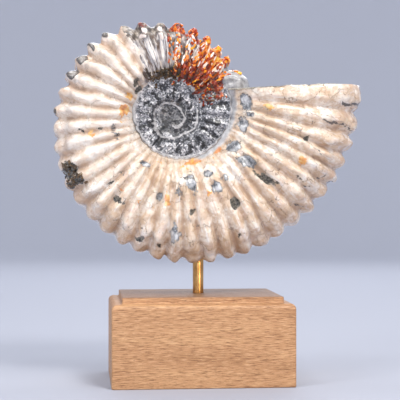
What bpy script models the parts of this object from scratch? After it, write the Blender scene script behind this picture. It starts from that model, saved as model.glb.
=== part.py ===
"""A ribbed ammonite fossil held upright on a brass rod that stands in a moulded oak block.

Metres, +Z up. The origin is the centre of the block's underside, on the rod's axis. The block's long
front faces -Y. The shell is coiled about an axis along Y, and its mouth is at +X.
"""

import math
import random

import bmesh
import bpy
import numpy as np
from mathutils import Matrix

# The oak block: a body with a rounded shoulder, and a smaller tier on it
BLOCK_WIDTH = 0.105
BLOCK_DEPTH = 0.080
BODY_HEIGHT = 0.0476
SHOULDER_RADIUS = 0.0030
BLOCK_HEIGHT = 0.0513
TIER_INSET = 0.0062
TIER_EDGE_RADIUS = 0.0006
TIER_SINK = 0.0040

# The brass rod, and the room round it in its two sockets
ROD_RADIUS = 0.0032
ROD_BOTTOM = 0.0263
ROD_TOP = 0.0840
ROD_END_ROUND = 0.0005
ROD_SIDES = 28
SOCKET_GAP = 0.0003
SOCKET_END_GAP = 0.0006

# The coil's centre, and how far the rib crests stand from it at each growth angle. Growth angles are
# degrees from +X towards +Z, rising towards the mouth: 0 is the mouth's side, -90 the underside,
# -360 the same place as 0 one whorl further in.
CENTRE_X = -0.0145
CENTRE_Z = 0.1558
CREST_RADII = (
    (-1440, 0.00145),
    (-1080, 0.0050),
    (-720, 0.0156),
    (-540, 0.0262),
    (-360, 0.0402),
    (-315, 0.0462),
    (-270, 0.0546),
    (-225, 0.0639),
    (-180, 0.0713),
    (-135, 0.0786),
    (-90, 0.0868),
    (-45, 0.0960),
    (0, 0.1106),
    (20, 0.1150),
)

# The whorl's section: a squarish oval whose middle, half height, half breadth and seam are shares of
# the crest radius
SECTION_MIDDLE = 0.63
SECTION_HALF_HEIGHT = 0.37
SQUARENESS = 2.5
BREADTH_SHARES = (
    (-1440, 1.50),
    (-1080, 0.92),
    (-720, 0.60),
    (-540, 0.48),
    (-360, 0.405),
    (-180, 0.355),
    (-90, 0.34),
    (20, 0.325),
)
SEAM_SHARES = (
    (-1440, 0.40),
    (-720, 0.38),
    (-360, 0.35),
    (-270, 0.35),
    (-180, 0.32),
    (-90, 0.285),
    (20, 0.30),
)
NUCLEUS_BREADTH_SHARE = 0.25

# The ribs: the growth angles of some of their crests, counted back from the mouth
RIB_ANGLES = (
    (-1, 19.0),
    (0, 5.4),
    (5, -27.4),
    (10, -62.2),
    (15, -98.3),
    (20, -138.7),
    (25, -183.0),
    (30, -229.6),
    (35, -282.3),
    (39, -324.2),
    (55, -520),
    (75, -800),
    (95, -1130),
    (115, -1500),
)
MOUTH_COUNT = -0.35
MOUTH_RIB_STRETCH = 0.7
INNERMOST_COUNT = 98
RIB_DEPTHS = ((-1440, 0.09), (-300, 0.08), (-200, 0.066), (-120, 0.048), (20, 0.046))
RIB_SHARPNESSES = ((-360, 1.1), (-280, 1.0), (-210, 0.7), (-150, 0.5), (20, 0.42))
CREST_FLATNESS = 1.06
RIB_FOOT_SHARE = 0.31
RIB_FULL_SHARE = 0.50
RIB_UNEVENNESS = 0.14
RIB_SEED = 11

# Each rib is straight and passes the coil's centre at this share of its crest radius
RIB_OFFSETS = (
    (-1440, 0.04),
    (-372, 0.05),
    (-340, 0.30),
    (-315, 0.08),
    (-290, 0.04),
    (-220, 0.05),
    (-170, 0.03),
    (-90, 0.01),
    (-45, 0.065),
    (0, 0.12),
    (20, 0.125),
)

# Three rows of knobs on the ribs: degrees round the section from the mid venter, height, half width
KNOBS = ((26, 0.030, 11), (60, 0.020, 12), (112, 0.012, 12))
KNOB_STRENGTHS = (
    (-1440, 0.8),
    (-360, 1.0),
    (-300, 1.5),
    (-200, 1.4),
    (-140, 0.7),
    (-90, 0.45),
    (20, 0.4),
)
VENTER_DIP = 0.028
VENTER_DIP_WIDTH = 13

# The smooth lump of calcite on the older venter, just under the mouth
LUMP_START = -321
LUMP_FULL = -337
LUMP_HEIGHT = 0.0060
LUMP_SIDE = (math.radians(45), math.radians(78))

# The rough stone that fills the mouth: it bulges most this far out, as a share of the mouth's reach
MOUTH_LUMP = 0.0020
MOUTH_LUMP_OUT = 0.86
MOUTH_LUMP_WIDTH = 0.10
MOUTH_ROUGHNESS = 0.0012
MOUTH_SEED = 5

# How finely the coil is divided
OUTER_RIB_STEPS = (0.12, 0.36, 0.5, 0.64, 0.88)
INNER_RIB_STEPS = (0.0, 0.5)
VENTER_TURNS = (0, 14, 29, 48)
FLANK_PARTS = (0.28, 0.52, 0.76, 1.0)
LEAST_STEP = 0.08
MOUTH_BANDS = 5
TURN_STEP = 0.01
MOST_LEAN = 0.9

SHELL_FINISH = ((0.80, 0.71, 0.62, 1.0), 0.30, 0.0)
BRASS_FINISH = ((0.74, 0.47, 0.17, 1.0), 0.28, 1.0)
OAK_FINISH = ((0.57, 0.38, 0.23, 1.0), 0.60, 0.0)


def smooth_curve(points):
    """A function through these (place, value) points that is smooth and doesn't overshoot them."""
    places, values = np.array(points, float).T
    widths = np.diff(places)
    slopes = np.diff(values) / widths
    before, after = slopes[:-1], slopes[1:]
    weight_before = 2 * widths[1:] + widths[:-1]
    weight_after = widths[1:] + 2 * widths[:-1]
    level = before * after <= 0
    below = np.where(level, 1.0, weight_before * after + weight_after * before)
    tilts = np.empty(len(places))
    tilts[1:-1] = np.where(level, 0.0, (weight_before + weight_after) * before * after / below)
    tilts[0], tilts[-1] = slopes[0], slopes[-1]

    def value_at(place):
        place = np.clip(place, places[0], places[-1])
        i = np.clip(np.searchsorted(places, place) - 1, 0, len(widths) - 1)
        t = (place - places[i]) / widths[i]
        return (
            values[i] * (1 + 2 * t) * (1 - t) ** 2
            + tilts[i] * widths[i] * t * (1 - t) ** 2
            + values[i + 1] * t * t * (3 - 2 * t)
            + tilts[i + 1] * widths[i] * t * t * (t - 1)
        )

    return value_at


def uneven_strengths():
    """Each rib's strength as (count, strength) points, a little different from its neighbours'."""
    pick = random.Random(RIB_SEED)
    counts = range(-2, int(RIB_ANGLES[-1][0]) + 1)
    return [(count, 1.0 + RIB_UNEVENNESS * pick.uniform(-1, 1)) for count in counts]


crest_log_radius = smooth_curve([(place, math.log(radius)) for place, radius in CREST_RADII])
breadth_share = smooth_curve(BREADTH_SHARES)
seam_share = smooth_curve(SEAM_SHARES)
rib_angle = smooth_curve(RIB_ANGLES)
rib_offset = smooth_curve(RIB_OFFSETS)
rib_depth = smooth_curve(RIB_DEPTHS)
rib_sharpness = smooth_curve(RIB_SHARPNESSES)
rib_strength = smooth_curve(uneven_strengths())
knob_strength = smooth_curve(KNOB_STRENGTHS)


def smoothstep(low, high, value):
    share = np.clip((value - low) / (high - low), 0.0, 1.0)
    return share * share * (3.0 - 2.0 * share)


def crest_radius(angle):
    return np.exp(crest_log_radius(angle))


def oval(share):
    """A cosine or sine pushed out towards the corners of the squarish oval."""
    return np.sign(share) * np.abs(share) ** (2.0 / SQUARENESS)


def turn_at(share):
    """How far round the section from the venter, in radians, it is this share of the crest radius out."""
    height = np.clip((share - SECTION_MIDDLE) / SECTION_HALF_HEIGHT, -0.999, 0.999)
    return np.arccos(np.sign(height) * np.abs(height) ** (SQUARENESS / 2.0))


def seam_turn(angle):
    return turn_at(seam_share(angle))


def seam_breadth(angle):
    """Half the breadth of the older whorl where this whorl's seam lies on it."""
    older = angle - 360.0
    share = seam_share(angle) * crest_radius(angle) / crest_radius(older)
    on_older = breadth_share(older) * crest_radius(older) * oval(np.sin(turn_at(share)))
    return np.where(older < CREST_RADII[0][0], NUCLEUS_BREADTH_SHARE * crest_radius(angle), on_older)


def section(angle, turn):
    """The plain section's distance from the coil's axis and half breadth, this far round from the venter."""
    radius = crest_radius(angle) * (SECTION_MIDDLE + SECTION_HALF_HEIGHT * oval(np.cos(turn)))
    widest = breadth_share(angle) * crest_radius(angle)
    breadth = widest * oval(np.sin(turn))
    at_seam = widest * oval(np.sin(seam_turn(angle)))
    wanted = seam_breadth(angle)
    umbilical = wanted + (breadth - at_seam) * (widest - wanted) / (widest - at_seam)
    return radius, np.where(turn > math.pi / 2, umbilical, breadth)


def lump(angle, turn):
    """How much of the smooth calcite lump there is here, from 0 to 1."""
    along = smoothstep(-LUMP_START, -LUMP_FULL, -angle)
    across = 1.0 - smoothstep(*LUMP_SIDE, turn)
    return along * across


def relief(count, angle, turn):
    """How far the ribs and knobs lift the surface off the plain section, or sink it, in metres."""
    radius, _ = section(angle, turn)
    share = radius / crest_radius(angle)
    phase = np.where(count < 0.0, count * MOUTH_RIB_STRETCH, count)
    wave = 0.5 + 0.5 * np.cos(2 * math.pi * phase)
    crest = np.minimum(1.0, CREST_FLATNESS * wave ** rib_sharpness(angle))
    reach = smoothstep(RIB_FOOT_SHARE, RIB_FULL_SHARE, share)
    height = -rib_depth(angle) * share * reach * (1.0 - crest)
    degrees = np.degrees(turn)
    for place, tall, wide in KNOBS:
        hump = np.exp(-(((degrees - place) / wide) ** 2))
        height = height + tall * knob_strength(angle) * wave * wave * hump
    height = height - VENTER_DIP * crest * np.exp(-((degrees / VENTER_DIP_WIDTH) ** 2))
    return height * rib_strength(count) * crest_radius(angle)


def shell_points(counts, turns):
    """Points of the front half of the shell, one row for each rib count and one column for each turn."""
    count = np.asarray(counts, float)[:, None]
    angle = rib_angle(count)
    turn = turns(angle)
    out_radius, out_breadth = section(angle, np.maximum(turn - TURN_STEP, 0.0))
    in_radius, in_breadth = section(angle, turn + TURN_STEP)
    length = np.hypot(out_radius - in_radius, out_breadth - in_breadth)
    outward = (in_breadth - out_breadth) / length
    sideways = (out_radius - in_radius) / length
    outward = np.where(turn < TURN_STEP, 1.0, outward)
    sideways = np.where(turn < TURN_STEP, 0.0, sideways)
    hidden = lump(angle, turn)
    rise = relief(count, angle, turn) * (1.0 - hidden) + LUMP_HEIGHT * hidden
    radius, breadth = section(angle, turn)
    radius = radius + outward * rise
    breadth = breadth + sideways * rise
    offset = rib_offset(angle) * crest_radius(angle)
    lean = np.arcsin(np.clip(offset / radius, -MOST_LEAN, MOST_LEAN)) - np.arcsin(rib_offset(angle))
    polar = np.radians(angle) + lean
    return np.stack([radius * np.cos(polar), -breadth, radius * np.sin(polar)], axis=-1)


def mouth_seam():
    """The growth angle at which the mouth's seam lies on the older whorl, and its turn round that whorl."""
    mouth = float(rib_angle(MOUTH_COUNT))
    seam = shell_points([MOUTH_COUNT], seam_turn)[0, 0]
    reach = math.hypot(seam[0], seam[2])
    wanted = math.degrees(math.atan2(seam[2], seam[0])) - 360.0
    older = np.linspace(mouth - 372.0, mouth - 320.0, 5201)
    offset = rib_offset(older) * crest_radius(older)
    polar = older + np.degrees(np.arcsin(offset / reach) - np.arcsin(rib_offset(older)))
    angle = float(older[np.argmin(np.abs(polar - wanted))])
    return angle, float(turn_at(reach / crest_radius(angle)))


def count_at(angle):
    """The rib count at this growth angle."""
    counts = np.linspace(-1.0, RIB_ANGLES[-1][0], 40001)
    return float(counts[np.argmin(np.abs(rib_angle(counts) - angle))])


def counts_between(first, last, steps):
    """Rib counts from first to last, with these steps on each rib, and none crowded against the ends."""
    inner = [rib + step for rib in range(math.floor(first), math.ceil(last)) for step in steps]
    return [first] + [count for count in inner if first + LEAST_STEP < count < last - LEAST_STEP] + [last]


def add_grid(bm, points):
    """New vertices for a grid of points, as columns that run from the venter to the seam."""
    return [[bm.verts.new(point) for point in column] for column in points]


def weave(bm, columns):
    """Fills the squares between neighbouring columns of equal length, newest column first."""
    for newer, older in zip(columns, columns[1:]):
        for i in range(len(newer) - 1):
            bm.faces.new((newer[i], newer[i + 1], older[i + 1], older[i]))


def stitch(bm, outer, inner, outer_places, inner_places):
    """Fills the strip between two lines of vertices that run the same way but may differ in number.

    The places rise along each line and say which vertices lie beside each other.
    """
    i, j = 0, 0
    while i < len(outer) - 1 or j < len(inner) - 1:
        if j == len(inner) - 1 or (i < len(outer) - 1 and outer_places[i + 1] <= inner_places[j + 1]):
            bm.faces.new((outer[i], inner[j], outer[i + 1]))
            i += 1
        else:
            bm.faces.new((outer[i], inner[j], inner[j + 1]))
            j += 1


def round_places(line):
    """How far round the coil each vertex of a line is, in radians from +X, rising with the shell's age."""
    return -np.unwrap([math.atan2(vertex.co.z, vertex.co.x) for vertex in line])


def mouth_lines(edge, old_edge):
    """Lines of points over the rough stone in the mouth, between the shell's edge and the older whorl."""
    pick = random.Random(MOUTH_SEED)
    edge = np.array([vertex.co for vertex in edge])
    old_edge = np.array([vertex.co for vertex in old_edge])
    along = np.linspace(0.0, 1.0, len(edge))
    old_along = np.linspace(0.0, 1.0, len(old_edge))
    old_edge = np.stack([np.interp(along, old_along, old_edge[:, axis]) for axis in range(3)], axis=-1)
    widest = math.hypot(edge[0][0], edge[0][2])
    lines = []
    for band in range(1, MOUTH_BANDS):
        share = band / MOUTH_BANDS
        line = edge * (1.0 - share) + old_edge * share
        out = np.hypot(line[:, 0], line[:, 2]) / widest
        across = np.sin(math.pi * share) * np.sqrt(np.cos(0.5 * math.pi * along))
        mound = MOUTH_LUMP * np.exp(-(((out - MOUTH_LUMP_OUT) / MOUTH_LUMP_WIDTH) ** 2))
        rough = MOUTH_ROUGHNESS * np.array([pick.uniform(-1, 1) for _ in along])
        line[:, 2] += across * (mound + rough)
        lines.append(line)
    return lines


def add_mouth(bm, edge, old_edge):
    """Fills the mouth. Its lines run from the venter to where the mouth's seam meets the older whorl."""
    lines = [edge] + add_grid(bm, mouth_lines(edge, old_edge)) + [old_edge]
    for outer, inner in zip(lines, lines[1:]):
        stitch(bm, outer, inner, np.linspace(0, 1, len(outer)), np.linspace(0, 1, len(inner)))


def add_umbilicus(bm, seam, columns):
    """Joins the older whorls to the seam of the whorl outside each, and closes the coil at its nucleus."""
    rim = [column[0] for column in columns]
    seam_places, rim_places = round_places(seam), round_places(rim)
    last = int(np.searchsorted(seam_places, rim_places[-1]))
    stitch(bm, seam[: last + 1], rim, seam_places, rim_places)
    ring = seam[last:] + columns[-1][-2::-1] + [seam[last]]
    nucleus = bm.verts.new((0.0, ring[0].co.y, 0.0))
    stitch(bm, ring, [nucleus], range(len(ring)), [0])


def fossil_half():
    """The front half of the fossil about the coil's centre, open at its mid plane."""
    start_angle, meeting_turn = mouth_seam()
    start = count_at(start_angle)

    def flank_turns(angle):
        return meeting_turn + (seam_turn(angle) - meeting_turn) * np.array(FLANK_PARTS)

    def all_turns(angle):
        venter = np.append(np.radians(VENTER_TURNS), meeting_turn)
        return np.hstack([np.tile(venter, (len(angle), 1)), flank_turns(angle)])

    outer_points = shell_points(counts_between(MOUTH_COUNT, start, OUTER_RIB_STEPS), all_turns)
    outer_points[0, -1] = outer_points[-1, len(VENTER_TURNS)]
    inner_points = shell_points(counts_between(start, INNERMOST_COUNT, INNER_RIB_STEPS)[1:], flank_turns)
    bm = bmesh.new()
    outer = add_grid(bm, outer_points)
    inner = [outer[-1][-len(FLANK_PARTS) :]] + add_grid(bm, inner_points)
    weave(bm, outer)
    weave(bm, inner)
    add_mouth(bm, outer[0], outer[-1][: len(VENTER_TURNS) + 1])
    seam = [column[-1] for column in outer] + [column[-1] for column in inner[1:]]
    add_umbilicus(bm, seam, inner)
    bmesh.ops.remove_doubles(bm, verts=bm.verts, dist=1e-6)
    return bm


def box(width, depth, low, high):
    bm = bmesh.new()
    scale = Matrix.Diagonal((width, depth, high - low, 1.0))
    bmesh.ops.create_cube(bm, size=1.0, matrix=Matrix.Translation((0.0, 0.0, (low + high) / 2)) @ scale)
    return bm


def rod(radius, low, high):
    bm = bmesh.new()
    middle = Matrix.Translation((0.0, 0.0, (low + high) / 2))
    bmesh.ops.create_cone(
        bm, cap_ends=True, segments=ROD_SIDES, radius1=radius, radius2=radius, depth=high - low, matrix=middle
    )
    return bm


def round_edges(bm, radius, segments, wanted):
    """Rounds the edges for which wanted(edge) is true."""
    edges = [edge for edge in bm.edges if wanted(edge)]
    bmesh.ops.bevel(bm, geom=edges, offset=radius, segments=segments, affect="EDGES", profile=0.5)


def finish(name, values):
    colour, roughness, metallic = values
    material = bpy.data.materials.new(name)
    material.use_nodes = True
    shader = material.node_tree.nodes["Principled BSDF"]
    shader.inputs["Base Color"].default_value = colour
    shader.inputs["Roughness"].default_value = roughness
    shader.inputs["Metallic"].default_value = metallic
    return material


def add_object(name, bm, collection, material=None):
    mesh = bpy.data.meshes.new(name)
    bm.to_mesh(mesh)
    bm.free()
    thing = bpy.data.objects.new(name, mesh)
    collection.objects.link(thing)
    if material:
        mesh.materials.append(material)
        mesh.shade_smooth()
        mesh.set_sharp_from_angle(angle=math.radians(40))
    else:
        thing.hide_render = True
        thing.display_type = "WIRE"
    return thing


def new_collection(name):
    collection = bpy.data.collections.new(name)
    bpy.context.scene.collection.children.link(collection)
    return collection


def combine(thing, other, operation):
    modifier = thing.modifiers.new(other.name, "BOOLEAN")
    modifier.operation = operation
    modifier.object = other


def make_fossil(parts, cutters):
    fossil = add_object("ammonite", fossil_half(), parts, finish("Pearly shell", SHELL_FINISH))
    fossil.location = (CENTRE_X, 0.0, CENTRE_Z)
    mirror = fossil.modifiers.new("Back half", "MIRROR")
    mirror.use_axis = (False, True, False)
    mirror.merge_threshold = 1e-5
    socket = rod(ROD_RADIUS + SOCKET_GAP, BLOCK_HEIGHT, ROD_TOP + SOCKET_END_GAP)
    combine(fossil, add_object("fossil socket", socket, cutters), "DIFFERENCE")


def make_rod(parts):
    bm = rod(ROD_RADIUS, ROD_BOTTOM, ROD_TOP)
    round_edges(bm, ROD_END_ROUND, 1, lambda edge: len({round(vertex.co.z, 6) for vertex in edge.verts}) == 1)
    add_object("pin", bm, parts, finish("Brass", BRASS_FINISH))


def make_block(parts, cutters):
    """The block's body and its tier, each a box with its edges rounded, joined and bored for the rod."""
    body = box(BLOCK_WIDTH, BLOCK_DEPTH, 0.0, BODY_HEIGHT)
    round_edges(body, SHOULDER_RADIUS, 4, lambda edge: all(v.co.z > BODY_HEIGHT - 1e-6 for v in edge.verts))
    width = BLOCK_WIDTH - 2 * TIER_INSET
    depth = BLOCK_DEPTH - 2 * TIER_INSET
    tier = box(width, depth, BODY_HEIGHT - TIER_SINK, BLOCK_HEIGHT)
    round_edges(tier, TIER_EDGE_RADIUS, 2, lambda edge: all(v.co.z > BLOCK_HEIGHT - 1e-6 for v in edge.verts))
    block = add_object("base", body, parts, finish("Light oak", OAK_FINISH))
    combine(block, add_object("tier", tier, cutters), "UNION")
    socket = rod(ROD_RADIUS + SOCKET_GAP, ROD_BOTTOM - SOCKET_END_GAP, ROD_TOP)
    combine(block, add_object("block socket", socket, cutters), "DIFFERENCE")


def main():
    for old in list(bpy.data.objects):
        bpy.data.objects.remove(old, do_unlink=True)
    parts = new_collection("Ammonite on a stand")
    cutters = new_collection("Cutters")
    cutters.hide_render = True
    make_fossil(parts, cutters)
    make_rod(parts)
    make_block(parts, cutters)


if __name__ == "__main__":
    main()
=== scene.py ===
"""The looks of a ribbed ammonite on its stand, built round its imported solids.

Metres, +Z up. The shell is coiled about an axis along Y, with its mouth at +X. The flank that faces -Y is
the one in the front view, and its marks are placed in that view's 400-pixel frame.
"""

import math
import random

import bmesh
import bpy
import numpy as np
from mathutils import Matrix, Vector, noise


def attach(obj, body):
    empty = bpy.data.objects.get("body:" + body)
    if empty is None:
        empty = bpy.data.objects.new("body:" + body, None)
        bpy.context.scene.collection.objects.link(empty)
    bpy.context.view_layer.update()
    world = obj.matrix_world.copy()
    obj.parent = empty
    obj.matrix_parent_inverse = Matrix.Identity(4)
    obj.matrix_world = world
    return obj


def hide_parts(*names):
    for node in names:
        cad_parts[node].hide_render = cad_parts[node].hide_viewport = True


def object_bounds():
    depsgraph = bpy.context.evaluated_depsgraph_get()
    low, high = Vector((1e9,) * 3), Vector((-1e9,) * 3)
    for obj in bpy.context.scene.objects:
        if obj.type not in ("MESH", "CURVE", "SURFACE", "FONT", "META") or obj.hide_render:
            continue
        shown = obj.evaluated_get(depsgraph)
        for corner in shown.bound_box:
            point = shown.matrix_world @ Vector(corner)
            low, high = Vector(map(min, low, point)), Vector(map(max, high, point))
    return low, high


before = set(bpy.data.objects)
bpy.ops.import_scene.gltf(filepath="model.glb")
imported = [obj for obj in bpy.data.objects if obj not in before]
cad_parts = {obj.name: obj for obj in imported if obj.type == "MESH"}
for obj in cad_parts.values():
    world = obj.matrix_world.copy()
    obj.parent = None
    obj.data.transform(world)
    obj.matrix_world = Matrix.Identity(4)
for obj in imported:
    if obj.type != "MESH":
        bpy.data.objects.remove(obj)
solid_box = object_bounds()

MM = 0.001

# The front view: where it is seen from, how far the camera is turned towards +X, and its lens
VIEW_POINT = (-0.0694, -0.740, 0.1067)
VIEW_TURN = math.atan(118 / 1238)
VIEW_LENS = 112.1
VIEW_SENSOR = 36.0
VIEW_PIXELS = 400
COIL_IN_VIEW = (174.0, 119.0)

# The coil's centre, and how far the rib crests stand from it at each growth angle. Growth angles are
# degrees from +X towards +Z, rising towards the mouth: -360 is the same place as 0 one whorl further in.
CENTRE_X = -0.0145
CENTRE_Z = 0.1558
CREST_RADII = (
    (-1440, 0.00145),
    (-1080, 0.0050),
    (-720, 0.0156),
    (-540, 0.0262),
    (-360, 0.0402),
    (-315, 0.0462),
    (-270, 0.0546),
    (-225, 0.0639),
    (-180, 0.0713),
    (-135, 0.0786),
    (-90, 0.0868),
    (-45, 0.0960),
    (0, 0.1106),
    (20, 0.1150),
)

# The whorl's section: a squarish oval whose middle, half height, half breadth and seam are shares of
# the crest radius
SECTION_MIDDLE = 0.63
SECTION_HALF_HEIGHT = 0.37
SQUARENESS = 2.5
BREADTH_SHARES = (
    (-1440, 1.50),
    (-1080, 0.92),
    (-720, 0.60),
    (-540, 0.48),
    (-360, 0.405),
    (-180, 0.355),
    (-90, 0.34),
    (20, 0.325),
)
SEAM_SHARES = (
    (-1440, 0.40),
    (-720, 0.38),
    (-360, 0.35),
    (-270, 0.35),
    (-180, 0.32),
    (-90, 0.285),
    (20, 0.30),
)
NUCLEUS_BREADTH_SHARE = 0.25

# The ribs: the growth angles of some of their crests, counted back from the mouth
RIB_ANGLES = (
    (-1, 19.0),
    (0, 5.4),
    (5, -27.4),
    (10, -62.2),
    (15, -98.3),
    (20, -138.7),
    (25, -183.0),
    (30, -229.6),
    (35, -282.3),
    (39, -324.2),
    (55, -520),
    (75, -800),
    (95, -1130),
    (115, -1500),
)
MOUTH_COUNT = -0.35
MOUTH_RIB_STRETCH = 0.7
INNERMOST_COUNT = 98
RIB_DEPTHS = ((-1440, 0.09), (-300, 0.074), (-200, 0.066), (-120, 0.056), (20, 0.052))
RIB_SHARPNESSES = ((-360, 0.55), (-280, 0.44), (-210, 0.50), (-150, 0.45), (20, 0.38))
CREST_FLATNESS = 1.06
CREST_SOFTNESS = 0.05
GROOVE_SOFTNESS = 0.006
RIB_FOOT_SHARE = 0.31
RIB_FULL_SHARE = 0.50
RIB_UNEVENNESS = 0.20
RIB_SEED = 11
WANDER = 0.16
VENTER_FILL = 0.30
VENTER_SIDE = (62.0, 30.0)
KNOB_FLOOR = 0.40
KNOB_PEAK = 0.9

# Each rib is straight and passes the coil's centre at this share of its crest radius
RIB_OFFSETS = (
    (-1440, 0.04),
    (-372, 0.05),
    (-340, 0.30),
    (-315, 0.08),
    (-290, 0.04),
    (-220, 0.05),
    (-170, 0.03),
    (-90, 0.01),
    (-45, 0.065),
    (0, 0.12),
    (20, 0.125),
)

# Three rows of knobs on the ribs: degrees round the section from the mid venter, height, half width
KNOBS = ((26, 0.030, 11), (60, 0.026, 11), (108, 0.017, 12))
KNOB_STRENGTHS = (
    (-1440, 0.8),
    (-360, 1.0),
    (-300, 1.5),
    (-200, 1.4),
    (-140, 0.7),
    (-90, 0.45),
    (20, 0.4),
)
VENTER_DIP = 0.028
VENTER_DIP_WIDTH = 13

# The smooth lump of calcite on the older venter, just under the mouth
LUMP_START = -319
LUMP_FULL = -331
LUMP_HEIGHT = 0.0068
LUMP_SIDE = (math.radians(45), math.radians(78))

# The rough stone that fills the mouth
MOUTH_LUMP = 0.0020
MOUTH_LUMP_OUT = 0.86
MOUTH_LUMP_WIDTH = 0.10
MOUTH_BANDS = 36

# How finely the coil is divided: columns to a rib, and rows from the mid venter to the level of the
# mouth's seam and on to the whorl's own seam, on the front and on the back
RIB_COLUMNS = 12
VENTER_ROWS = (30, 26)
FLANK_ROWS = (52, 36)
INNER_RIB_COLUMNS = (8, 5)
INNER_ROWS = (28, 16)
INNER_RIM_PART = 0.04
TURN_STEP = 0.01
MOST_LEAN = 0.9

# The marks on the front flank, each placed in the front view by its angles from the coil's right towards
# its top, and by its distances from the coil's centre in pixels
MM_PER_PIXEL = 0.58
PRESS = 0.0013
GREY_CALCITE = (
    (20, 8, 66, 80),
    (6.5, 1, 72, 78),
    (2.6, -10, 62, 74),
    (-18, -30, 57, 72),
    (-27, -33.5, 74, 95),
    (-47, -51.5, 74, 81),
    (-54, -61, 73, 87),
    (-55, -61, 61, 68),
    (-70, -78, 55, 77),
    (-84, -87.5, 66, 77),
    (-87, -93, 105, 125),
    (-99, -102, 76, 82),
    (-115, -128, 49, 56),
    (-164, -172, 58, 62),
    (-314, -343, 60, 92),
)
DARK_SPOTS = (
    (-8, -10, 131, 136),
    (-31.5, -34.5, 97, 120),
    (-31, -32.5, 119, 124),
    (-51.5, -56, 96, 110),
    (-77.5, -80.5, 92, 99),
    (-104.5, -108, 123, 128),
    (-106, -107, 114, 116),
    (-120, -122, 97, 100),
    (-123, -127, 96, 101),
    (-133.5, -135.5, 89, 95),
    (-132, -136, 75, 77),
    (-172, -173.5, 92, 95.5),
    (-171, -174, 71, 78),
    (-219, -228, 50, 56),
    (-214, -227, 42, 49),
    (-72, -84, 58, 60),
    (-144.5, -150, 109, 125),
    (-150, -158.5, 109, 125),
    (-77, -79, 108, 110),
    (-60, -61.5, 132, 134),
    (-96, -98, 128, 131),
    (-112, -113, 116, 118),
)
SILVER_KNOBS = (
    (-182.5, -185.5, 116, 124),
    (-201.5, -207, 105, 118),
    (-211, -215.5, 101, 115),
    (-220, -223, 106, 116),
    (-228.5, -232, 105, 115),
)
AMBER_PATCHES = (
    (9.5, 5, 91, 100),
    (-16, -19, 130, 141),
    (-63, -67, 78, 84),
    (-30, -42, 51, 56),
    (-57, -78, 45, 50),
    (-102, -104, 90, 94),
    (-112.5, -113.5, 88, 92),
    (-124, -127, 87, 88.5),
    (-109, -114, 45, 47.5),
    (-168, -171.5, 80, 88),
    (-175, -180, 49, 51.5),
    (-185, -197, 46, 54),
    (-205, -212, 46.5, 52),
    (-91.5, -97, 73, 87),
)
CRACKS = (
    (0.38, (-4, 182), (-3.4, 176), (-2.2, 172), (-2.6, 166), (-1.4, 162), (-1.6, 156), (0, 149)),
    (0.8, (4.2, 186), (4.6, 170)),
    (1.3, (-21.5, 179), (-22.5, 168)),
    (0.9, (-26.5, 174), (-28.5, 168)),
    (0.35, (-20, 163), (-22, 157), (-23.5, 150), (-25.5, 146), (-25.5, 135)),
    (0.30, (-33.5, 157), (-35.5, 148), (-37.6, 142), (-37.4, 134), (-39.5, 127)),
    (0.25, (0.5, 137), (-4, 138), (-8, 136)),
    (0.30, (-26, 141), (-28, 147), (-27, 152)),
    (0.25, (-12, 150), (-15, 151)),
)

# The edge of the shell that is left, where the older whorl's bare stone and crystals begin
BARE_EDGE = ((-231, 43), (-236, 50), (-240, 60), (-244, 75), (-242, 92), (-240.5, 103))

# On the bare whorl: where the pale streaks give way to honey-coloured crystals, and where these end
HONEY_START = ((-262, 39), (-265, 50), (-277, 57), (-290, 63), (-293, 76), (-281, 84), (-268, 90), (-264, 99))
HONEY_END = ((-327, 29), (-329, 45), (-329, 57), (-322, 63), (-326, 80))
LEAVES_PER_RIB = 0.65
HONEY_KNOBS = ((-248.5, -253, 97, 106), (-329, -337, 46, 56))
DARK_BAND = ((-234, -262, 36, 44), (-247, -283, 37, 52), (-264, -276, 44, 56), (-238, -243, 40, 62))
PEARLS = (
    (-249.5, -253.5, 92.5, 99),
    (-248, -252, 85.5, 92),
    (-259.5, -263.5, 88.5, 95),
    (-259, -263.5, 80, 88),
    (-308, -314, 62, 69),
)

# The seam between the older whorls as the front view shows it: growth angles and distances
INNER_SEAM = (
    (-343, 23.8),
    (-363, 22.8),
    (-412, 18.8),
    (-430, 18.7),
    (-470, 19.8),
    (-544, 19.6),
    (-560, 20.0),
    (-586, 18.8),
    (-616, 16.0),
    (-646, 12.5),
    (-689, 9.4),
    (-728, 8.6),
    (-780, 8.2),
    (-830, 7.0),
)
HEART_RADIUS = 0.0085
HEART_DIP = 0.0012
HEART_RING = 0.12


def smooth_curve(points):
    """A function through these (place, value) points that is smooth and doesn't overshoot them."""
    places, values = np.array(points, float).T
    widths = np.diff(places)
    slopes = np.diff(values) / widths
    before, after = slopes[:-1], slopes[1:]
    weight_before = 2 * widths[1:] + widths[:-1]
    weight_after = widths[1:] + 2 * widths[:-1]
    level = before * after <= 0
    below = np.where(level, 1.0, weight_before * after + weight_after * before)
    tilts = np.empty(len(places))
    tilts[1:-1] = np.where(level, 0.0, (weight_before + weight_after) * before * after / below)
    tilts[0], tilts[-1] = slopes[0], slopes[-1]

    def value_at(place):
        place = np.clip(place, places[0], places[-1])
        i = np.clip(np.searchsorted(places, place) - 1, 0, len(widths) - 1)
        t = (place - places[i]) / widths[i]
        return (
            values[i] * (1 + 2 * t) * (1 - t) ** 2
            + tilts[i] * widths[i] * t * (1 - t) ** 2
            + values[i + 1] * t * t * (3 - 2 * t)
            + tilts[i + 1] * widths[i] * t * t * (t - 1)
        )

    return value_at


def uneven_strengths():
    """Each rib's strength as (count, strength) points, a little different from its neighbours'."""
    pick = random.Random(RIB_SEED)
    counts = range(-2, int(RIB_ANGLES[-1][0]) + 1)
    return [(count, 1.0 + RIB_UNEVENNESS * pick.uniform(-1, 1)) for count in counts]


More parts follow.
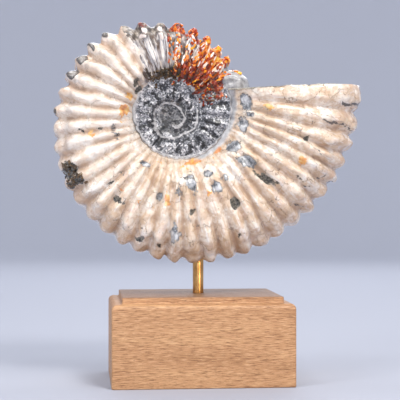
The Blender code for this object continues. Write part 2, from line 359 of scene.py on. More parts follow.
crest_log_radius = smooth_curve([(place, math.log(radius)) for place, radius in CREST_RADII])
breadth_share = smooth_curve(BREADTH_SHARES)
seam_share = smooth_curve(SEAM_SHARES)
rib_angle = smooth_curve(RIB_ANGLES)
rib_offset = smooth_curve(RIB_OFFSETS)
rib_depth = smooth_curve(RIB_DEPTHS)
rib_sharpness = smooth_curve(RIB_SHARPNESSES)
rib_strength = smooth_curve(uneven_strengths())
knob_strength = smooth_curve(KNOB_STRENGTHS)


def smoothstep(low, high, value):
    """0 at the low end and 1 at the high end, with an even bend between them."""
    share = np.clip((value - low) / (high - low), 0.0, 1.0)
    return share * share * (3.0 - 2.0 * share)


def crest_radius(angle):
    """How far the rib crests lie from the coil's centre here, in metres."""
    return np.exp(crest_log_radius(angle))


def oval(share):
    """A cosine or sine pushed out towards the corners of the squarish oval."""
    return np.sign(share) * np.abs(share) ** (2.0 / SQUARENESS)


def turn_at(share):
    """How far round the section from the venter, in radians, it is this share of the crest radius out."""
    height = np.clip((share - SECTION_MIDDLE) / SECTION_HALF_HEIGHT, -0.999, 0.999)
    return np.arccos(np.sign(height) * np.abs(height) ** (SQUARENESS / 2.0))


def seam_turn(angle):
    """How far round the section the whorl's own seam lies, in radians."""
    return turn_at(seam_share(angle))


def cover_turn(angle):
    """How far round this whorl the seam of the next whorl out lies."""
    newer = angle + 360.0
    return turn_at(seam_share(newer) * crest_radius(newer) / crest_radius(angle))


def seam_breadth(angle):
    """Half the breadth of the older whorl where this whorl's seam lies on it."""
    older = angle - 360.0
    share = seam_share(angle) * crest_radius(angle) / crest_radius(older)
    on_older = breadth_share(older) * crest_radius(older) * oval(np.sin(turn_at(share)))
    return np.where(older < CREST_RADII[0][0], NUCLEUS_BREADTH_SHARE * crest_radius(angle), on_older)


def section(angle, turn):
    """The plain section's distance from the coil's axis and half breadth, this far round from the venter."""
    radius = crest_radius(angle) * (SECTION_MIDDLE + SECTION_HALF_HEIGHT * oval(np.cos(turn)))
    widest = breadth_share(angle) * crest_radius(angle)
    breadth = widest * oval(np.sin(turn))
    at_seam = widest * oval(np.sin(seam_turn(angle)))
    wanted = seam_breadth(angle)
    umbilical = wanted + (breadth - at_seam) * (widest - wanted) / (widest - at_seam)
    return radius, np.where(turn > math.pi / 2, umbilical, breadth)


def lump(angle, turn):
    """How much of the smooth calcite lump there is here, from 0 to 1."""
    along = smoothstep(-LUMP_START, -LUMP_FULL, -angle)
    across = 1.0 - smoothstep(*LUMP_SIDE, turn)
    return along * across


def rib_wave(count):
    """0 in the groove between two ribs and 1 on a rib's crest."""
    phase = np.where(count < 0.0, count * MOUTH_RIB_STRETCH, count)
    return 0.5 + 0.5 * np.cos(2 * math.pi * phase)


def rib_crest(count, angle):
    """The rib's rounded profile, from 0 in the groove to 1 along its flattened crest."""
    wave = (rib_wave(count) + GROOVE_SOFTNESS) / (1.0 + GROOVE_SOFTNESS)
    short = 1.0 - CREST_FLATNESS * wave ** rib_sharpness(angle)
    return 1.0 - 0.5 * (short + np.sqrt(short * short + CREST_SOFTNESS**2))


def wandering(count, turn):
    """How far each rib wanders off its straight line here, in ribs."""
    broad = np.sin(1.9 * turn + 0.83 * count) * np.sin(0.37 * count + 1.0)
    return WANDER * (0.6 * broad + 0.4 * np.sin(5.3 * turn + 2.1 * count) * np.sin(0.91 * count))


def relief(count, angle, turn):
    """How far the ribs and knobs lift the surface off the plain section, or sink it, in metres."""
    count = count + wandering(count, turn) * smoothstep(0.0, 2.0, count)
    radius, _ = section(angle, turn)
    share = radius / crest_radius(angle)
    wave = rib_wave(count)
    crest = rib_crest(count, angle)
    reach = smoothstep(RIB_FOOT_SHARE, RIB_FULL_SHARE, share)
    degrees = np.degrees(turn)
    depth = rib_depth(angle) * (1.0 - VENTER_FILL * smoothstep(*VENTER_SIDE, degrees))
    height = -depth * share * reach * (1.0 - crest)
    for place, tall, wide in KNOBS:
        hump = np.exp(-(((degrees - place) / wide) ** 2))
        peak = KNOB_FLOOR + (1.0 - KNOB_FLOOR) * wave**KNOB_PEAK
        height = height + tall * knob_strength(angle) * peak * hump
    height = height - VENTER_DIP * crest * np.exp(-((degrees / VENTER_DIP_WIDTH) ** 2))
    return height * rib_strength(count) * crest_radius(angle)


def shell_points(count, turn):
    """Points of the shell about the coil's centre. Turns are positive on the front flank."""
    angle = rib_angle(count)
    side, turn = np.where(turn < 0.0, 1.0, -1.0), np.abs(turn)
    out_radius, out_breadth = section(angle, np.maximum(turn - TURN_STEP, 0.0))
    in_radius, in_breadth = section(angle, turn + TURN_STEP)
    length = np.hypot(out_radius - in_radius, out_breadth - in_breadth)
    outward = np.where(turn < TURN_STEP, 1.0, (in_breadth - out_breadth) / length)
    sideways = np.where(turn < TURN_STEP, 0.0, (out_radius - in_radius) / length)
    hidden = lump(angle, turn)
    rise = relief(count, angle, turn) * (1.0 - hidden) + LUMP_HEIGHT * hidden
    radius, breadth = section(angle, turn)
    radius = radius + outward * rise
    breadth = breadth + sideways * rise
    offset = rib_offset(angle) * crest_radius(angle)
    lean = np.arcsin(np.clip(offset / radius, -MOST_LEAN, MOST_LEAN)) - np.arcsin(rib_offset(angle))
    polar = np.radians(angle) + lean
    return np.stack([radius * np.cos(polar), side * breadth, radius * np.sin(polar)], axis=-1)


def mouth_seam():
    """The growth angle at which the mouth's seam lies on the older whorl, and its turn round that whorl."""
    mouth = float(rib_angle(MOUTH_COUNT))
    seam = shell_points(np.array(MOUTH_COUNT), seam_turn(mouth))
    reach = math.hypot(seam[0], seam[2])
    wanted = math.degrees(math.atan2(seam[2], seam[0])) - 360.0
    older = np.linspace(mouth - 372.0, mouth - 320.0, 5201)
    offset = rib_offset(older) * crest_radius(older)
    polar = older + np.degrees(np.arcsin(offset / reach) - np.arcsin(rib_offset(older)))
    angle = float(older[np.argmin(np.abs(polar - wanted))])
    return angle, float(turn_at(reach / crest_radius(angle)))


def count_at(angle):
    """The rib count at this growth angle."""
    counts = np.linspace(-1.0, RIB_ANGLES[-1][0], 40001)
    return float(counts[np.argmin(np.abs(rib_angle(counts) - angle))])


def even_parts(low, high, rows, angle=-120.0):
    """Turns from low to high that divide the section's outline into this many equal lengths."""
    turns = np.linspace(low, high, 2000)
    radius, breadth = section(angle, turns)
    lengths = np.append(0.0, np.cumsum(np.hypot(np.diff(radius), np.diff(breadth))))
    return np.interp(np.linspace(0.0, lengths[-1], rows + 1), lengths, turns)


def shell_rows(angle, meeting):
    """Signed turns of each column's points, from the front seam over the venter to the back seam."""
    sides = []
    for side in range(2):
        venter = even_parts(0.0, meeting, VENTER_ROWS[side])
        flank = even_parts(meeting, math.pi, FLANK_ROWS[side] * 2)[: FLANK_ROWS[side] + 1]
        parts = (flank[1:] - meeting) / (flank[-1] - meeting)
        flank = meeting + (seam_turn(angle)[:, None] - meeting) * parts
        sides.append(np.hstack([np.tile(venter, (len(angle), 1)), flank]))
    return np.hstack([sides[0][:, :0:-1], -sides[1]])


def inner_rows(angle, rows):
    """Turns of the older whorl's points, from the newer whorl's seam on it to its own seam."""
    cover = cover_turn(angle)[:, None]
    parts = np.linspace(INNER_RIM_PART, 1.0, rows + 1)
    return cover + (seam_turn(angle)[:, None] - cover) * parts


def grid_normals(points):
    """Outward normals of a grid whose first axis runs into the coil and second from front to back."""
    normals = np.cross(np.gradient(points, axis=0), np.gradient(points, axis=1))
    return normals / np.linalg.norm(normals, axis=-1, keepdims=True)


class Skin:
    """The points of the shell's surface with where each lies on the shell, and the faces between them."""

    def __init__(self):
        self.points, self.normals, self.counts, self.turns, self.kinds = [], [], [], [], []
        self.faces = []
        self.size = 0

    def add(self, points, normals, counts, turns, kind):
        """Adds an array of points and returns their numbers in the same shape."""
        shape = points.shape[:-1]
        amount = int(np.prod(shape))
        self.points.append(points.reshape(-1, 3))
        self.normals.append(np.broadcast_to(normals, points.shape).reshape(-1, 3))
        self.counts.append(np.broadcast_to(counts, shape).reshape(-1))
        self.turns.append(np.broadcast_to(turns, shape).reshape(-1))
        self.kinds.append(np.full(amount, kind))
        numbers = np.arange(self.size, self.size + amount).reshape(shape)
        self.size += amount
        return numbers

    def face(self, corners):
        """Adds a face, unless corners that are one point leave fewer than three."""
        corners = list(dict.fromkeys(corners))
        if len(corners) > 2:
            self.faces.append(corners)

    def weave(self, columns):
        """Fills a grid of point numbers with four-sided faces, or three-sided where two corners are one."""
        a, b, c, d = columns[:-1, :-1], columns[:-1, 1:], columns[1:, 1:], columns[1:, :-1]
        for corners in np.stack([a, b, c, d], axis=-1).reshape(-1, 4).tolist():
            self.face(corners)

    def stitch(self, outer, inner, outer_places, inner_places):
        """Fills the strip between two lines of point numbers that run the same way.

        The places rise along each line and say which points lie beside each other.
        """
        i, j = 0, 0
        while i < len(outer) - 1 or j < len(inner) - 1:
            if j == len(inner) - 1 or (i < len(outer) - 1 and outer_places[i + 1] <= inner_places[j + 1]):
                self.face([outer[i], inner[j], outer[i + 1]])
                i += 1
            else:
                self.face([outer[i], inner[j], inner[j + 1]])
                j += 1

    def gather(self):
        """All points so far and what goes with them, as flat arrays."""
        parts = (self.points, self.normals, self.counts, self.turns, self.kinds)
        return [np.concatenate(part) for part in parts]


def round_places(points):
    """How far round the coil each point of a line is, in radians from +X, rising with the shell's age."""
    return -np.unwrap(np.arctan2(points[:, 2], points[:, 0]))


def even_places(line):
    """Places from 0 to 1, evenly along the line's points."""
    return np.linspace(0.0, 1.0, len(line))


# The zones of the surface, which are its material slots too
SHELL, UMBILICUS, MOUTH = 0, 1, 2


def add_mouth(skin, edge, old_edge, numbers, old_numbers):
    """Fills the mouth with stone, from the shell's edge to the older whorl's venter."""
    along = even_places(edge)
    old_along = even_places(old_edge)
    old_line = np.stack([np.interp(along, old_along, old_edge[:, axis]) for axis in range(3)], axis=-1)
    widest = np.hypot(edge[:, 0], edge[:, 2]).max()
    from_middle = np.abs(2.0 * along - 1.0)
    lines = [numbers]
    for band in range(1, MOUTH_BANDS):
        share = band / MOUTH_BANDS
        line = edge * (1.0 - share) + old_line * share
        out = np.hypot(line[:, 0], line[:, 2]) / widest
        across = math.sin(math.pi * share) * np.sqrt(np.cos(0.5 * math.pi * from_middle).clip(0.0, 1.0))
        line[:, 2] += across * MOUTH_LUMP * np.exp(-(((out - MOUTH_LUMP_OUT) / MOUTH_LUMP_WIDTH) ** 2))
        inner = skin.add(line[1:-1], np.array((0.0, 0.0, 1.0)), across[1:-1], 0.0, MOUTH)
        lines.append(np.concatenate([numbers[:1], inner, numbers[-1:]]))
    skin.weave(np.array(lines))
    skin.stitch(list(lines[-1]), list(old_numbers), along, old_along)


def add_umbilicus(skin, side, start, shell, shell_rim, seam_row):
    """Adds the older whorls that show inside the newest one on one flank, down to the nucleus.

    shell holds the newest whorl's point numbers, and shell_rim those of its last column's flank, rim first.
    """
    step = 1.0 / INNER_RIB_COLUMNS[side]
    counts = np.arange(start + step, INNERMOST_COUNT, step)
    turns = inner_rows(rib_angle(counts), INNER_ROWS[side])
    turns = turns[:, ::-1] if side == 0 else -turns
    count = np.repeat(counts[:, None], turns.shape[1], axis=1)
    places = shell_points(count, turns)
    numbers = skin.add(places, grid_normals(places), count, turns, UMBILICUS)
    skin.weave(numbers)
    if side == 0:
        numbers, places = numbers[:, ::-1], places[:, ::-1]
    skin.stitch(shell_rim, list(numbers[0]), even_places(shell_rim), even_places(numbers[0]))
    seam = np.concatenate([shell[:, seam_row], numbers[:, -1]])
    rim = np.concatenate([shell_rim[:1], numbers[:, 0]])
    points = skin.gather()[0]
    seam_places, rim_places = round_places(points[seam]), round_places(points[rim])
    last = int(np.searchsorted(seam_places, rim_places[-1]))
    skin.stitch(list(seam[: last + 1]), list(rim), seam_places, rim_places)
    ring = list(seam[last:]) + list(numbers[-1][-2::-1]) + [seam[last]]
    centre = np.array([[0.0, points[ring[0]][1], 0.0]])
    nucleus = skin.add(centre, np.array((0.0, (-1.0, 1.0)[side], 0.0)), counts[-1], 0.0, UMBILICUS)
    skin.stitch(ring, list(nucleus), range(len(ring)), [0])


def make_skin():
    """The whole surface of the fossil about the coil's centre, both flanks, closed."""
    start_angle, meeting = mouth_seam()
    start = count_at(start_angle)
    counts = np.linspace(MOUTH_COUNT, start, round((start - MOUTH_COUNT) * RIB_COLUMNS) + 1)
    turns = shell_rows(rib_angle(counts), meeting)
    count = np.repeat(counts[:, None], turns.shape[1], axis=1)
    points = shell_points(count, turns)
    front, back = FLANK_ROWS[0], turns.shape[1] - 1 - FLANK_ROWS[1]
    points[0, 0], points[0, -1] = points[-1, front], points[-1, back]
    skin = Skin()
    shell = skin.add(points, grid_normals(points), count, turns, SHELL)
    shell[0, 0], shell[0, -1] = shell[-1, front], shell[-1, back]
    skin.weave(shell)
    add_mouth(skin, points[0], points[-1, front : back + 1], shell[0], shell[-1, front : back + 1])
    add_umbilicus(skin, 0, start, shell, list(shell[-1, front - 1 :: -1]), 0)
    add_umbilicus(skin, 1, start, shell, list(shell[-1, back + 1 :]), -1)
    return skin


# How far the outlines of the marks wander, in mm, in broad and in fine waves of these sizes
OUTLINE_WAVES = ((1.3, 7.0), (0.5, 2.5))
OUTLINE_SHIFT = 50.0
LEAST_REACH = 20.0

# The marks run over one turn of the coil, so shell that is older than this is read as this old
LAST_GROWTH = -320.0

# Depths inside the marks are in mm. These stand for a place outside every mark and for one far from it
OUTSIDE = -20.0
FAR = 50.0
NOISE_GAIN = 1.4


def noise_over(places, size):
    """Smooth noise from about -1 to 1 at each of these places, with features of this size."""
    return np.array([noise.noise(place) for place in (places / size).tolist()]) * NOISE_GAIN


def waves(places, heights_and_sizes):
    """The sum of several noises, each given as its height and the size of its features."""
    return sum(height * noise_over(places, size) for height, size in heights_and_sizes)


def uneven_places(angle, reach, points):
    """The same places shifted a little by noise, which makes the outlines of the marks uneven."""
    along = waves(points / MM, OUTLINE_WAVES)
    across = waves(points / MM + OUTLINE_SHIFT, OUTLINE_WAVES)
    off = np.degrees(along / MM_PER_PIXEL / np.maximum(reach, LEAST_REACH))
    return angle + off, reach + across / MM_PER_PIXEL


def view_places(points, growth):
    """Where the front view shows each point, as an angle in degrees and a distance in pixels from the coil.

    The back flank is read as its mirror image. Angles fall round the coil from the mouth, as growth does.
    """
    across = points[:, 0] + CENTRE_X - VIEW_POINT[0]
    away = -np.abs(points[:, 1]) - VIEW_POINT[1]
    up = points[:, 2] + CENTRE_Z - VIEW_POINT[2]
    right = math.cos(VIEW_TURN) * across - math.sin(VIEW_TURN) * away
    forward = math.sin(VIEW_TURN) * across + math.cos(VIEW_TURN) * away
    pixels = VIEW_LENS / VIEW_SENSOR * VIEW_PIXELS / forward
    x = VIEW_PIXELS / 2 + pixels * right - COIL_IN_VIEW[0]
    y = pixels * up - VIEW_PIXELS / 2 + COIL_IN_VIEW[1]
    angle = np.degrees(np.arctan2(y, x))
    wanted = np.maximum(growth, LAST_GROWTH)
    return angle + 360.0 * np.round((wanted - angle) / 360.0), np.hypot(x, y)


def patch_depth(angle, reach, patches):
    """How deep inside the nearest of these patches each point lies, in mm, and below 0 outside them."""
    depth = np.full(len(angle), OUTSIDE)
    for start, end, low, high in patches:
        half_along = math.radians(abs(start - end)) / 2 * (low + high) / 2 * MM_PER_PIXEL
        half_across = (high - low) / 2 * MM_PER_PIXEL
        along = (angle - (start + end) / 2) / (abs(start - end) / 2)
        across = (reach - (low + high) / 2) / ((high - low) / 2)
        depth = np.maximum(depth, (1.0 - np.hypot(along, across)) * min(half_along, half_across))
    return depth


def flat_place(angle, reach):
    """A place of the front view as right and up from the coil's centre, in mm."""
    angle = np.radians(angle)
    return reach * np.cos(angle) * MM_PER_PIXEL, reach * np.sin(angle) * MM_PER_PIXEL


def line_depth(angle, reach, lines):
    """How deep inside the nearest of these cracks each point lies, in mm, and below 0 outside them.

    Each crack is a half width in mm and the (angle, reach) corners that it runs through.
    """
    x, y = flat_place(angle, reach)
    depth = np.full(len(angle), OUTSIDE)
    for half_width, *corners in lines:
        ends = [flat_place(*corner) for corner in corners]
        for (x0, y0), (x1, y1) in zip(ends, ends[1:]):
            run = (x1 - x0) ** 2 + (y1 - y0) ** 2
            share = np.clip(((x - x0) * (x1 - x0) + (y - y0) * (y1 - y0)) / run, 0.0, 1.0)
            off = np.hypot(x - x0 - share * (x1 - x0), y - y0 - share * (y1 - y0))
            depth = np.maximum(depth, half_width - off)
    return depth


def past_inner_seam(angle, reach):
    """How far outside the nearest turn of the older whorls' seam each point lies, in mm."""
    places, distances = np.array(INNER_SEAM[::-1], float).T
    best = np.full(len(angle), FAR)
    turned = np.mod(angle, 360.0)
    for whorl in (1, 2, 3):
        place = turned - 360.0 * whorl
        off = (reach - np.interp(place, places, distances)) * MM_PER_PIXEL
        off = np.where((place > places[0]) & (place < places[-1]), off, FAR)
        best = np.where(np.abs(off) < np.abs(best), off, best)
    return best


def edge_angle(edge, reach):
    """The angle at which the edge of a region lies, at each of these distances from the coil's centre."""
    angles, distances = zip(*edge)
    return np.interp(reach, distances, angles)


def bare_depth(angle, reach):
    """How far past the shell's broken edge each point lies on the bare older whorl, in mm."""
    return np.radians(edge_angle(BARE_EDGE, reach) - angle) * reach * MM_PER_PIXEL


def honey_depth(angle, reach):
    """How deep among the honey-coloured crystals each point lies, in mm."""
    past_start = edge_angle(HONEY_START, reach) - angle
    before_end = angle - edge_angle(HONEY_END, reach)
    return np.radians(np.minimum(past_start, before_end)) * reach * MM_PER_PIXEL


# The grid along which streaks are laid: the size of one rib and of one radian round the section in it, and
# how far its two flanks lie apart
LAID_RIB = 5.5
LAID_TURN = 30.0
LAID_FLANK = 50.0


class FossilPoints:
    """The points of the fossil's surface, with where each lies on the shell and in the front view."""

    def __init__(self, skin):
        self.points, self.normals, self.counts, signed_turns, self.kinds = skin.gather()
        self.turns = np.abs(signed_turns)
        self.growth = rib_angle(self.counts)
        self.angle, self.reach = uneven_places(*view_places(self.points, self.growth), self.points)
        self.in_mm = self.points / MM
        flank = np.sign(self.points[:, 1]) * LAID_FLANK
        self.laid = np.stack([self.counts * LAID_RIB, signed_turns * LAID_TURN, flank], axis=-1)
        self.on_shell = self.kinds == SHELL
        self.in_umbilicus = self.kinds == UMBILICUS
        self.on_mouth = self.kinds == MOUTH
        elsewhere = np.where(self.on_mouth, OUTSIDE, -OUTSIDE)
        self.bare = np.where(self.on_shell, bare_depth(self.angle, self.reach), elsewhere)

    def depth_in(self, patches):
        """How deep inside these patches each point lies, in mm."""
        return patch_depth(self.angle, self.reach, patches)

    def fill_heart(self):
        """Fills the deep hole in the middle of each umbilicus up to the level of the whorl round it."""
        out = np.hypot(self.points[:, 0], self.points[:, 2])
        for side in (-1.0, 1.0):
            here = self.in_umbilicus & (side * self.points[:, 1] > 0.0)
            round_it = here & (np.abs(out / HEART_RADIUS - 1.0) < HEART_RING)
            level = np.median(np.abs(self.points[round_it, 1]))
            floor = level - HEART_DIP * (1.0 - out / HEART_RADIUS)
            low = here & (out < HEART_RADIUS) & (np.abs(self.points[:, 1]) < floor)
            self.points[low, 1] = side * floor[low]


# The silver knobs show on the first row of knobs only, so many degrees round the section
SILVER_ROW = 27.0
SILVER_ROW_EDGE = (13.0, 24.0)
SILVER_FALL = 6.0


def patch_marks(fossil):
    """The marks that are placed in the front view, each as depths in mm."""
    shown = np.where(fossil.on_shell & (fossil.bare < 0.0), 0.0, OUTSIDE)
    on_bare = np.where(fossil.bare > 0.0, 0.0, OUTSIDE)
    not_inside = np.where(fossil.on_shell, 0.0, OUTSIDE)
    off_row = smoothstep(*SILVER_ROW_EDGE, np.abs(np.degrees(fossil.turns) - SILVER_ROW))
    honey = honey_depth(fossil.angle, fossil.reach) + not_inside
    return {
        "grey": fossil.depth_in(GREY_CALCITE) + not_inside,
        "dark": fossil.depth_in(DARK_SPOTS) + shown,
        "amber": fossil.depth_in(AMBER_PATCHES) + shown,
        "crack": line_depth(fossil.angle, fossil.reach, CRACKS) + shown,
        "silver": fossil.depth_in(SILVER_KNOBS) + shown - SILVER_FALL * off_row,
        "honey": np.maximum(honey, fossil.depth_in(HONEY_KNOBS)) + on_bare,
        "shadow": fossil.depth_in(DARK_BAND) + on_bare + not_inside,
        "pearl": fossil.depth_in(PEARLS) + on_bare,
    }


# On the narrow inner whorls the mark of the rim narrows with them, from this span on, in metres. It ends
# at this growth angle, and so do the streaks of the bare whorl at theirs
FULL_SPAN = 6.5 * MM
LEAST_SPAN = 0.1 * MM
RIM_END = -700.0
STREAKS_END = (-322.0, -300.0)


def whorl_marks(fossil):
    """The marks that follow the whorls: distances from seams and rims in mm, and the rest from 0 to 1."""
    growth = fossil.growth
    out = section(growth, fossil.turns)[0]
    own_seam = seam_share(growth) * crest_radius(growth)
    newer_seam = seam_share(growth + 360.0) * crest_radius(growth + 360.0)
    span = np.maximum(newer_seam - own_seam, LEAST_SPAN)
    across = np.clip((out - own_seam) / span, 0.0, 1.0)
    to_rim = np.maximum(1.0, FULL_SPAN / span) * (section(growth, cover_turn(growth))[0] - out) / MM
    waved = fossil.counts + wandering(fossil.counts, fossil.turns)
    leaves = 0.5 + 0.5 * np.cos(2 * math.pi * fossil.counts * LEAVES_PER_RIB)
    return {
        "seam": (out - own_seam) / MM,
        "rim": np.where(fossil.in_umbilicus & (growth > RIM_END), to_rim, FAR),
        "coil": np.where(fossil.in_umbilicus, past_inner_seam(fossil.angle, fossil.reach), FAR),
        "groove": np.where(fossil.on_mouth, 0.0, 1.0 - rib_crest(waved, growth)),
        "leaf": leaves * np.sin(math.pi * across),
        "streaks": fossil.on_shell * smoothstep(*STREAKS_END, growth),
    }


# Where each soft shade starts and where it is full: by degrees round the section, distances in pixels,
# growth angles or angles of the front view, and distances from the seam in mm
TIP_SHADE = (66.0, 34.0)
HEART_SHADE = (19.0, 13.0)
DEPTH_SHADE = (62.0, 36.0)
CROWN_SHADE = (83.0, 90.0)
PAINTED_LIGHT_SPAN = (-120.0, -165.0)
GLOW_ROUND = (-282.0, -305.0)
GLOW_OUT = (56.0, 84.0)
WALL_SHEEN = (3.4, 2.0)
WALL_SHEEN_END = (-66.0, -56.0)


def shade_marks(fossil, seam):
    """The soft shades over the fossil, each from 0 to 1."""
    glow = smoothstep(*GLOW_ROUND, fossil.angle) * smoothstep(*GLOW_OUT, fossil.reach)
    wall = smoothstep(*WALL_SHEEN, seam) * smoothstep(*WALL_SHEEN_END, fossil.angle)
    return {
        "tip": smoothstep(*TIP_SHADE, np.degrees(fossil.turns)) * fossil.on_shell,
        # Painted shade of the umbilicus's deep middle
        "heart": smoothstep(*HEART_SHADE, fossil.reach),
        "depth": smoothstep(*DEPTH_SHADE, fossil.reach),
        "crown": smoothstep(*CROWN_SHADE, fossil.reach),
        # Painted light on the crests of the older shell
        "paler": smoothstep(*PAINTED_LIGHT_SPAN, fossil.growth) * fossil.on_shell,
        "glow": glow,
        # Painted sheen on the umbilical wall on the right of the front view
        "wall": wall * fossil.on_shell,
    }


# The relief of each surface in mm: its waves as heights and sizes, and how far streaks are stretched along
# the ribs
SHELL_WAVES = ((0.38, 10.0), (0.36, 4.5), (0.18, 2.6))
SHELL_STREAKS = ((0.42, 3.0),)
SHELL_STRETCH = (1.0, 4.0, 1.0)
BARE_WAVES = ((0.30, 2.4),)
BARE_STREAKS = ((0.35, 1.6),)
BARE_STRETCH = (1.0, 6.0, 1.0)
INNER_WAVES = ((0.35, 1.4),)
PIT_WAVES = ((0.3, 1.5),)
MOUTH_WAVES = ((1.2, 8.0), (0.5, 2.5))

# How far the marks lift the surface or sink it, in mm, and the inner seam's ridge and the hollow beside it
BARE_SUNK = 0.5
CALCITE_SUNK = 0.35
PIT_DEPTH = 0.5
CRACK_DEPTH = 1.6
PEARL_RISE = 0.5
SILVER_RISE = 0.7
RIM_RISE = 0.5
RIDGE_RISE = 0.4
HOLLOW_DEPTH = 0.5
HOLLOW_PLACE = 1.3
RIDGE_WIDTH = 0.6
WHOLE_SUNK = 0.45


def shell_rise(fossil, marks):
    """How far the shell is lifted or sunk in mm: by its own waves, pits and cracks, and where it is bare."""
    shell = smoothstep(0.5, -0.5, fossil.bare) * fossil.on_shell
    bare = fossil.on_shell * (1.0 - shell)
    rise = waves(fossil.in_mm, SHELL_WAVES) + waves(fossil.laid / SHELL_STRETCH, SHELL_STREAKS)
    rise -= (PIT_DEPTH + waves(fossil.in_mm, PIT_WAVES)) * smoothstep(-0.3, 0.6, marks["dark"])
    rise -= CRACK_DEPTH * smoothstep(-0.4, 1.2, marks["crack"])
    rough = waves(fossil.in_mm, BARE_WAVES) + waves(fossil.laid / BARE_STRETCH, BARE_STREAKS)
    lumpy = smoothstep(1.0, -1.0, marks["grey"]) * rough
    calcite = smoothstep(-0.4, 0.4, marks["grey"]) * fossil.on_shell
    return shell * rise + bare * (lumpy - BARE_SUNK) - CALCITE_SUNK * calcite


def inner_rise(fossil, marks):
    """How far the umbilicus and the mouth's stone are lifted or sunk, in mm."""
    ridge = RIDGE_RISE * np.exp(-((marks["coil"] / RIDGE_WIDTH) ** 2))
    hollow = HOLLOW_DEPTH * np.exp(-(((marks["coil"] - HOLLOW_PLACE) / RIDGE_WIDTH) ** 2))
    rim = RIM_RISE * smoothstep(1.6, 0.5, marks["rim"])
    inside = waves(fossil.in_mm, INNER_WAVES) + ridge - hollow + rim
    return fossil.in_umbilicus * inside + fossil.on_mouth * waves(fossil.in_mm, MOUTH_WAVES)


def held_inside(points):
    """The points, with those near the solids' box pressed softly back so that none lies outside it."""
    low, high = np.array(solid_box[0]), np.array(solid_box[1])
    middle, half = (low + high) / 2, (high - low) / 2
    off = points - middle
    past = np.maximum(np.abs(off) - (half - PRESS), 0.0)
    pressed = half - PRESS + PRESS * np.tanh(past / PRESS)
    return middle + np.where(past > 0.0, np.sign(off) * pressed, off)


def fossil_mesh(fossil, faces, marks):
    """The mesh of the fossil, with its marks kept on its points and its zones in three material slots."""
    mesh = bpy.data.meshes.new("ammonite")
    mesh.from_pydata(fossil.points.tolist(), [], faces)
    for name, values in marks.items():
        mesh.attributes.new(name, "FLOAT", "POINT").data.foreach_set("value", values.astype(np.float32))
    mesh.attributes.new("laid", "FLOAT_VECTOR", "POINT").data.foreach_set("vector", fossil.laid.ravel())
    zones = np.where(fossil.on_shell & (fossil.bare > 0.0), UMBILICUS, fossil.kinds)
    for face, corners in zip(mesh.polygons, faces):
        face.material_index = int(max(zones[corner] for corner in corners))
    return mesh


def make_fossil():
    """The fossil as one closed piece. Returns it with its points, where the loose crystals grow."""
    skin = make_skin()
    fossil = FossilPoints(skin)
    marks = patch_marks(fossil) | whorl_marks(fossil)
    marks |= shade_marks(fossil, marks["seam"])
    rise = shell_rise(fossil, marks) + inner_rise(fossil, marks) - WHOLE_SUNK
    rise += PEARL_RISE * smoothstep(-0.5, 1.0, marks["pearl"])
    rise += SILVER_RISE * smoothstep(-0.4, 1.6, marks["silver"])
    fossil.fill_heart()
    lifted = fossil.points + fossil.normals * (rise * MM)[:, None]
    fossil.points = held_inside(lifted + (CENTRE_X, 0.0, CENTRE_Z))
    return finish_mesh("ammonite_fossil", fossil_mesh(fossil, skin.faces, marks)), fossil


def finish_mesh(name, mesh):
    """Turns the mesh's faces outwards, makes them smooth, drops loose points and puts it in the scene."""
    shape = bmesh.new()
    shape.from_mesh(mesh)
    loose = [point for point in shape.verts if not point.link_faces]
    bmesh.ops.delete(shape, geom=loose, context="VERTS")
    bmesh.ops.recalc_face_normals(shape, faces=shape.faces)
    shape.to_mesh(mesh)
    shape.free()
    mesh.shade_smooth()
    piece = bpy.data.objects.new(name, mesh)
    bpy.context.scene.collection.objects.link(piece)
    return piece


# The loose crystals on the bare whorl and in the broken patch: where each kind grows, from one angle and
# distance to another as the marks are placed, how many there are on a flank, their lengths and widths in
# mm, how far they turn out of the radial line in degrees, and the range of their colours
CRYSTALS = (
    ("shards", (-270, -319), (56, 88), 36, (4.0, 9.0), (1.0, 2.2), 12, (0.82, 1.0)),
    ("deep red", (-268, -320), (37, 62), 130, (1.8, 3.8), (1.0, 1.9), 60, (0.26, 0.44)),
    ("honey", (-290, -321), (54, 90), 96, (2.0, 4.4), (1.1, 2.2), 50, (0.32, 0.68)),
    ("sprinkle", (-265, -294), (58, 92), 56, (1.8, 4.2), (1.2, 2.4), 60, (0.34, 0.72)),
    ("knob", (-266, -296), (90, 100), 34, (2.0, 3.8), (1.6, 2.6), 80, (0.40, 0.62)),
    ("rim", (-292, -321), (82, 98), 44, (2.2, 4.4), (1.6, 2.8), 70, (0.56, 0.80)),
    ("leaves", (-266, -322), (36, 54), 90, (1.8, 3.4), (0.9, 1.6), 80, (0.26, 0.78)),
    ("umber", (-236, -276), (36, 51), 80, (1.6, 3.2), (1.0, 1.8), 80, (0.0, 0.26)),
    ("broken", (-145, -158), (110, 124), 46, (1.8, 3.4), (1.4, 2.4), 90, (0.0, 0.22)),
    ("red", (-318, -338), (32, 52), 34, (1.6, 3.0), (1.0, 1.8), 80, (0.22, 0.40)),
)
CRYSTAL_SEED = 5
GOLDEN = 0.618034

# A crystal's shape: where its two rings of corners lie along it, how much it narrows towards one end, how
# uneven its corners are, how flat it is, and how far it tilts into the stone or out of it
CRYSTAL_SIDES = (5, 6)
CRYSTAL_RINGS = (-0.28, 0.30)
CRYSTAL_TAPER = (0.75, 1.0)
CRYSTAL_UNEVENNESS = (0.85, 1.1)
CRYSTAL_FLATNESS = 0.84
CRYSTAL_TILT = (-0.1, 0.2)


